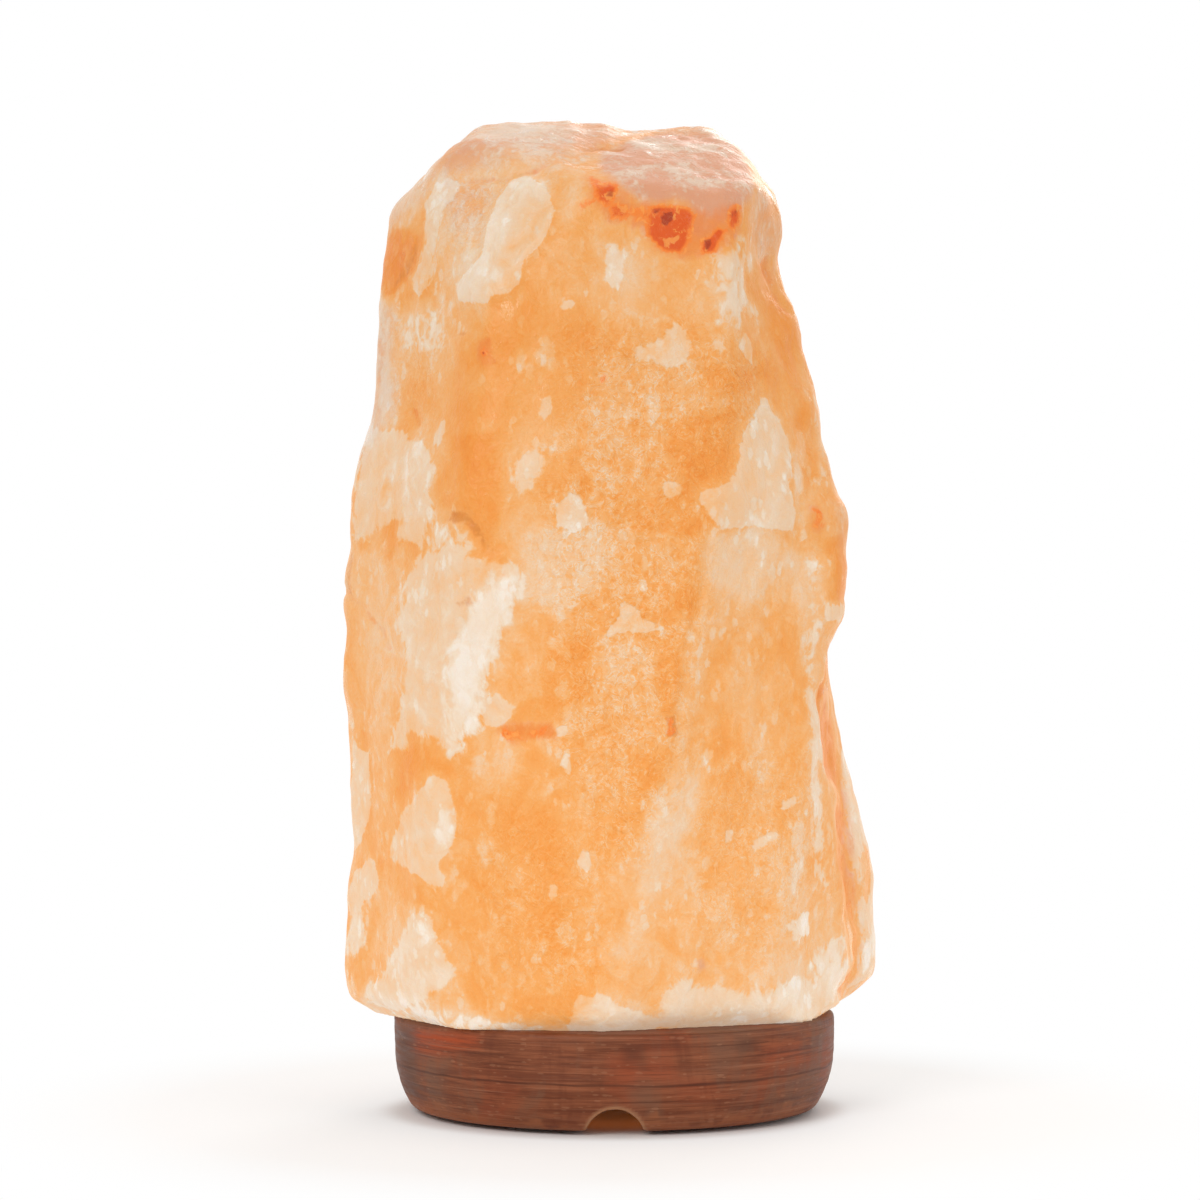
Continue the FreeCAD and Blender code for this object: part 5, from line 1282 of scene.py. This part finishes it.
def make_core():
    return bevelled("ceramic_core", "holder_core", 0.35 * MM, finish("steatite"))


def make_shell():
    """The screw shell: thin brass rolled to a round thread, with a flared rim."""
    low, top, outer = SHELL_LOW.z, SHELL_HIGH.z, SHELL_HIGH.x
    wall, hole = outer - 0.25 * MM, 4.6 * MM
    outline = [
        (hole, low), (wall, low), (wall, top - 0.8 * MM), (outer, top), (outer - SHEET, top),
        (wall - SHEET, top - 0.8 * MM), (wall - SHEET, low + SHEET), (hole, low + SHEET),
    ]
    rolled = thread(BULB_PITCH, 0.22 * MM, low + 1.5 * MM, top - 1 * MM, 1.2 * MM)
    shell = lathe(outline, 0.3 * MM, 0.25 * MM, sides=72, wave=rolled)
    return built("thread_shell", [shell], finish("brass"))


def make_clip():
    return bevelled("leg_spring", "spring_clip", 0.18 * MM, finish("spring_steel"))


def make_contact():
    return bevelled("contact_leaf", "centre_contact", 0.1 * MM, finish("brass"))


def make_rivets():
    """The rivets, with domed heads."""
    rivets = []
    for low, high in boxes("contact_rivets", HALVES):
        middle, head = round_piece(low, high)
        shank, under, top = head / 1.5, high[2] - 0.5 * MM, high[2]
        outline = [(0, low[2]), (shank, low[2]), (shank, under), (head, under), (head, top - 0.25 * MM),
                   (head * 0.6, top), (0, top)]
        rivets.append(lathe(outline, 0.12 * MM, None, False, 32, middle))
    return built("rivet_pair", rivets, finish("brass"))


def make_blocks():
    return bevelled("wire_blocks", "terminal_blocks", 0.3 * MM, finish("brass"))


TO_BACK = ((1, 0, 0), (0, 0, 1), (0, -1, 0))  # turns what stands upright to run from front to back


def make_block_screws():
    """The terminal screws, with domed and slotted heads and a fine thread."""
    screws, slots = [], []
    for low, high in boxes("terminal_screws", HALVES):
        radius = (high[2] - low[2]) / 2
        length, under, shank = high[1] - low[1], 1.4 * MM, radius / 1.5
        fine = thread(0.5 * MM, 0.08 * MM, under + 0.3 * MM, length, 0.3 * MM)

        def wave(r, z, angle, fine=fine, under=under):
            return np.where((z > under + 0.1 * MM) & (r > 0.5 * MM), fine(r - 0.08 * MM, z, angle), r)

        outline = [(0, 0), (radius * 0.75, 0), (radius, 0.4 * MM), (radius, under), (shank, under),
                   (shank, length), (0, length)]
        shift = ((low[0] + high[0]) / 2, low[1], (low[2] + high[2]) / 2)
        screw = lathe(outline, 0.15 * MM, 0.1 * MM, False, 32, wave=wave)
        screws.append(moved(screw, shift, TO_BACK))
        wide, half = radius * 1.2, 0.28 * MM
        slot = prism([(-wide, -half), (wide, -half), (wide, half), (-wide, half)], -0.2 * MM, 0.7 * MM)
        slots.append(moved(slot, shift, TO_BACK))
    return carved(built("clamp_screws", screws, finish("brass")), slots)


# --- The bulb ---

BULB_CAP_LOW, BULB_CAP_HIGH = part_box("bulb_cap")
TIP_LOW, TIP_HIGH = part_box("bulb_contact")
INSULATOR_LOW, INSULATOR_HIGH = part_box("bulb_insulator")
STEM_LOW, STEM_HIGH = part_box("bulb_stem")
LEADS_LOW, LEADS_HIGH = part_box("lead_wires")
WIRE = 0.3 * MM


def make_tip():
    """The solder tip, a flattened drop."""

    def uneven(radius, height, angle):
        return radius * (0.975 + 0.025 * np.sin(3 * angle + 1) * np.cos(5 * angle))

    low, top, radius = TIP_LOW.z, TIP_HIGH.z, TIP_HIGH.x
    outline = [(0, low), (0.55 * radius, low), (radius, (low + top) / 2), (radius, top), (0, top)]
    drop = lathe(outline, 0.5 * MM, None, False, 40, wave=uneven)
    return built("solder_tip", [drop], finish("solder"))


def make_insulator():
    """The black glass between tip and cap."""
    low, top, collar = INSULATOR_LOW.z, INSULATOR_HIGH.z, INSULATOR_HIGH.x
    inner = TIP_HIGH.x + 0.3 * MM
    outline = [(0, low), (inner, low), (collar, top - 1 * MM), (collar, top), (0, top)]
    cone = lathe(outline, 0.3 * MM, None, False, 48)
    return built("glass_insulator", [cone], finish("black_glass"))


def make_bulb_cap():
    """The cap: a thin shell rolled to a round thread, with a soldered joint at its rim."""
    low, top, outer = BULB_CAP_LOW.z, BULB_CAP_HIGH.z, BULB_CAP_HIGH.x
    sheet, floor, wall = 0.35 * MM, 4.8 * MM, outer - 0.25 * MM
    outline = [
        (floor, low), (wall - 0.2 * MM, low + 1.6 * MM), (wall, low + 2.4 * MM), (wall, top - 3.4 * MM),
        (outer, top - 3 * MM), (outer, top), (outer - sheet, top), (outer - sheet, top - 3 * MM),
        (wall - sheet, top - 3.4 * MM), (wall - sheet, low + 2.4 * MM),
        (wall - sheet - 0.2 * MM, low + 1.9 * MM), (floor, low + sheet),
    ]
    rolled = thread(BULB_PITCH, 0.25 * MM, low + 2 * MM, top - 3.6 * MM, 1.2 * MM)
    shell = lathe(outline, 0.25 * MM, 0.25 * MM, sides=72, wave=rolled)
    drop = 0.55 * MM
    arc = [(drop * math.sin(a), drop * 0.8 * math.cos(a)) for a in np.linspace(0, math.pi, 10)]
    joint = moved(turned(arc, False, 16), (0, drop - outer, top - 0.1 * MM))
    return built("threaded_cap", [shell, joint], finish("nickel"))


def make_stem():
    """The glass mount: a flare, a rod pinched flat round the wires, and a button."""
    low, top, flare = STEM_LOW.z, STEM_HIGH.z, STEM_HIGH.x
    rod, button = 2 * MM, 2.6 * MM
    outline = [
        (0, low), (flare, low), (flare, low + 0.7 * MM), (0.62 * flare, low + 2.2 * MM),
        (rod, low + 6.5 * MM), (rod, top - button), (0.7 * rod, top - 0.85 * button),
        (button, top - button / 2), (button, top), (0, top),
    ]

    def pinched(radius, height, angle):
        flat = smooth_step(low + 7 * MM, low + 9 * MM, height)
        flat = flat * smooth_step(top - 2.8 * MM, top - 4.2 * MM, height)
        return radius * (1 + 0.32 * flat * np.cos(2 * angle))

    mount = lathe(outline, 0.9 * MM, 0.5 * MM, False, 48, wave=pinched)
    return built("glass_mount", [mount], clear_glass())


def curved(corners, radius, step):
    """A path through corners, rounded at each one."""
    return dense(filleted(corners, radius, False, 6), step, False)


def make_leads():
    """The lead wires: up through the mount, out to the filament and hooked over its ends."""
    top, spread, root = LEADS_HIGH.z, LEADS_HIGH.x - WIRE, 1.7 * MM
    leads = []
    for side in (-1, 1):
        corners = [
            (0.9 * MM, STEM_LOW.z + 3 * MM), (root, STEM_LOW.z + 8 * MM), (root, LEADS_LOW.z + 1 * MM),
            (spread, LEADS_LOW.z + 3.7 * MM), (spread, top - WIRE), (spread - 0.55 * MM, top - WIRE),
            (spread - 0.6 * MM, top - 1.1 * MM),
        ]
        path = [(side * x, 0, z) for x, z in curved(corners, 0.5 * MM, 0.4 * MM)]
        leads.append(tube(path, WIRE * 0.85))
    return built("lead_pair", leads, finish("bulb_wire"))


def filament_line(share):
    """Points on the hanging line of the filament, for shares from 0 to 1 of its length."""
    low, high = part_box("filament")
    wire = 0.25 * MM
    half, sag = high.x - wire, high.z - low.z - 2 * wire
    across = (2 * share - 1) * half
    return np.stack([across, 0 * share, low.z + wire + sag * (across / half) ** 2], -1)


COIL_TURNS = 46


def make_filament():
    """The filament: a fine coil."""
    share = np.linspace(0.01, 0.99, COIL_TURNS * 12)
    line = filament_line(share)
    along = directions(line)
    across = np.array((0.0, 1.0, 0.0))
    turn = share[:, None] * COIL_TURNS * 2 * math.pi
    coil = line + 0.19 * MM * (np.cos(turn) * across + np.sin(turn) * np.cross(along, across))
    return built("coiled_filament", [tube(coil, 0.055 * MM, 6)], tungsten())


def make_support():
    """The support wire, with a small loop round the filament."""
    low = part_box("support_wire")[0]
    middle = filament_line(np.array([0.5]))[0]
    angle = np.linspace(-0.5 * math.pi, 1.25 * math.pi, 20)
    loop = [(0, 0.34 * MM * math.cos(a), middle[2] + 0.34 * MM * math.sin(a)) for a in angle]
    path = [(0, 0, low.z + (middle[2] - 0.34 * MM - low.z) * t) for t in np.linspace(0, 1, 12)][:-1] + loop
    return built("support_hook", [tube(path, 0.09 * MM, 8)], finish("bulb_wire"))


# --- The stage ---

# How far out the floor's own shade is seen: past it the floor fades to the backdrop's white
SHADOW_REACH = 0.075


def make_floor():
    """A plain pale floor, which can't be seen from below."""
    half = 4.0
    corners = [(-half, -half, 0), (half, -half, 0), (half, half, 0), (-half, half, 0)]
    mesh = bpy.data.meshes.new("floor")
    mesh.from_pydata(corners, [], [(0, 1, 2, 3)])
    shade = Shade("pale_floor", Roughness=0.9)
    shade.set("Base Color", shade.blend(shade.noise(3, 2), (0.93, 0.93, 0.93), (0.95, 0.95, 0.95)))
    distance = shade.made("ShaderNodeVectorMath", {0: shade.place}, "Value", operation="LENGTH")
    far = shade.ramp(distance, SHADOW_REACH, 2.4 * SHADOW_REACH)
    beside = shade.ramp(distance, 0.95 * WOOD_HIGH.x, 1.1 * WOOD_HIGH.x, 0, 0.4)
    seen = shade.made("ShaderNodeLightPath", output="Is Camera Ray")
    shown = shade.times(shade.math("MAXIMUM", far, beside), seen)
    lit = shade.mixed(shown, shade.shader.outputs[0], shade.made("ShaderNodeEmission"))
    below = shade.made("ShaderNodeNewGeometry", output="Backfacing")
    lit = shade.mixed(below, lit, shade.made("ShaderNodeBsdfTransparent"))
    shade.feed(shade.tree.nodes["Material Output"].inputs["Surface"], lit)
    mesh.materials.append(shade.material)
    link_object("floor", mesh)


def make_world():
    """An even white studio, whose own surface shows as plain white."""
    world = bpy.data.worlds.new("studio")
    world.use_nodes = True
    world.node_tree.nodes.clear()
    nodes = Nodes(world.node_tree)
    path = nodes.made("ShaderNodeLightPath").node.outputs
    seen = nodes.math("MAXIMUM", path["Is Camera Ray"], path["Is Transmission Ray"])
    seen = nodes.math("MAXIMUM", seen, path["Is Glossy Ray"])
    light = nodes.made("ShaderNodeBackground", {"Color": (1.0, 0.985, 0.96), "Strength": 0.6})
    backdrop = nodes.made("ShaderNodeBackground", {"Color": (1, 1, 1), "Strength": 1.0})
    output = world.node_tree.nodes.new("ShaderNodeOutputWorld")
    nodes.feed(output.inputs["Surface"], nodes.mixed(seen, light, backdrop))
    bpy.context.scene.world = world


# Each lamp: where it stands, the point that it looks at, how wide it is and how bright
LAMPS = {
    "key": ((-0.7, -1.4, 1.0), (0, 0, 0.13), 0.9, 12.0),
    "fill": ((1.3, -1.2, 0.6), (0, 0, 0.12), 1.1, 5.0),
    "top": ((0.1, 0.2, 1.6), (0, 0, 0.1), 1.0, 3.5),
    "back": ((0.5, 1.5, 0.9), (0, 0, 0.13), 0.9, 6.0),
}


def make_lamps():
    for name, (place, target, width, power) in LAMPS.items():
        light = bpy.data.lights.new(name, "AREA")
        light.shape, light.size, light.energy = "DISK", width, power
        lamp = link_object(name, light)
        lamp.location = place
        lamp.rotation_euler = (Vector(target) - Vector(place)).to_track_quat("-Z", "Y").to_euler()


def make_camera():
    data = bpy.data.cameras.new("camera")
    data.sensor_fit, data.sensor_width = "HORIZONTAL", SENSOR
    data.lens = SENSOR * FOCAL_PIXELS / PHOTO_WIDTH
    data.clip_start, data.clip_end = 0.05, 50
    camera = link_object("camera", data)
    camera.location = CAMERA
    camera.rotation_euler = (math.pi / 2, 0, 0)
    bpy.context.scene.camera = camera


# --- The whole scene ---

# Each body's new pieces: of each one its maker, the node that it stands for and its slot
PIECES = {
    "stand": (
        (make_rock, "salt_crystal", "salt"),
        (make_base, "wooden_base", "stained_wood"),
        (make_pads, "felt_pads", "felt"),
        (make_base_screws, "base_screws", "zinc_steel"),
        (make_plugs, "wall_plugs", "nylon"),
    ),
    "lampholder": (
        (make_holder_cap, "holder_cap", "holder_plastic"),
        (make_sleeve, "holder_sleeve", "holder_plastic"),
        (make_core, "holder_core", "steatite"),
        (make_shell, "screw_shell", "brass"),
        (make_clip, "spring_clip", "spring_steel"),
        (make_contact, "centre_contact", "brass"),
        (make_rivets, "contact_rivets", "brass"),
        (make_blocks, "terminal_blocks", "brass"),
        (make_block_screws, "terminal_screws", "brass"),
    ),
    "bulb_tip": ((make_tip, "bulb_contact", "solder"),),
    "bulb": (
        (make_insulator, "bulb_insulator", "black_glass"),
        (make_bulb_cap, "bulb_cap", "nickel"),
        (make_stem, "bulb_stem", "clear_glass"),
        (make_leads, "lead_wires", "bulb_wire"),
        (make_support, "support_wire", "bulb_wire"),
        (make_filament, "filament", "tungsten"),
    ),
}

make_camera()
for body, rows in PIECES.items():
    for maker, node, slot in rows:
        piece = maker()
        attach(piece, body)
        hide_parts(node)
for place in NODES["bulb_glass"].material_slots:
    place.material = clear_glass()
make_floor()
make_world()
make_lamps()
bpy.context.scene.view_settings.view_transform = "Standard"
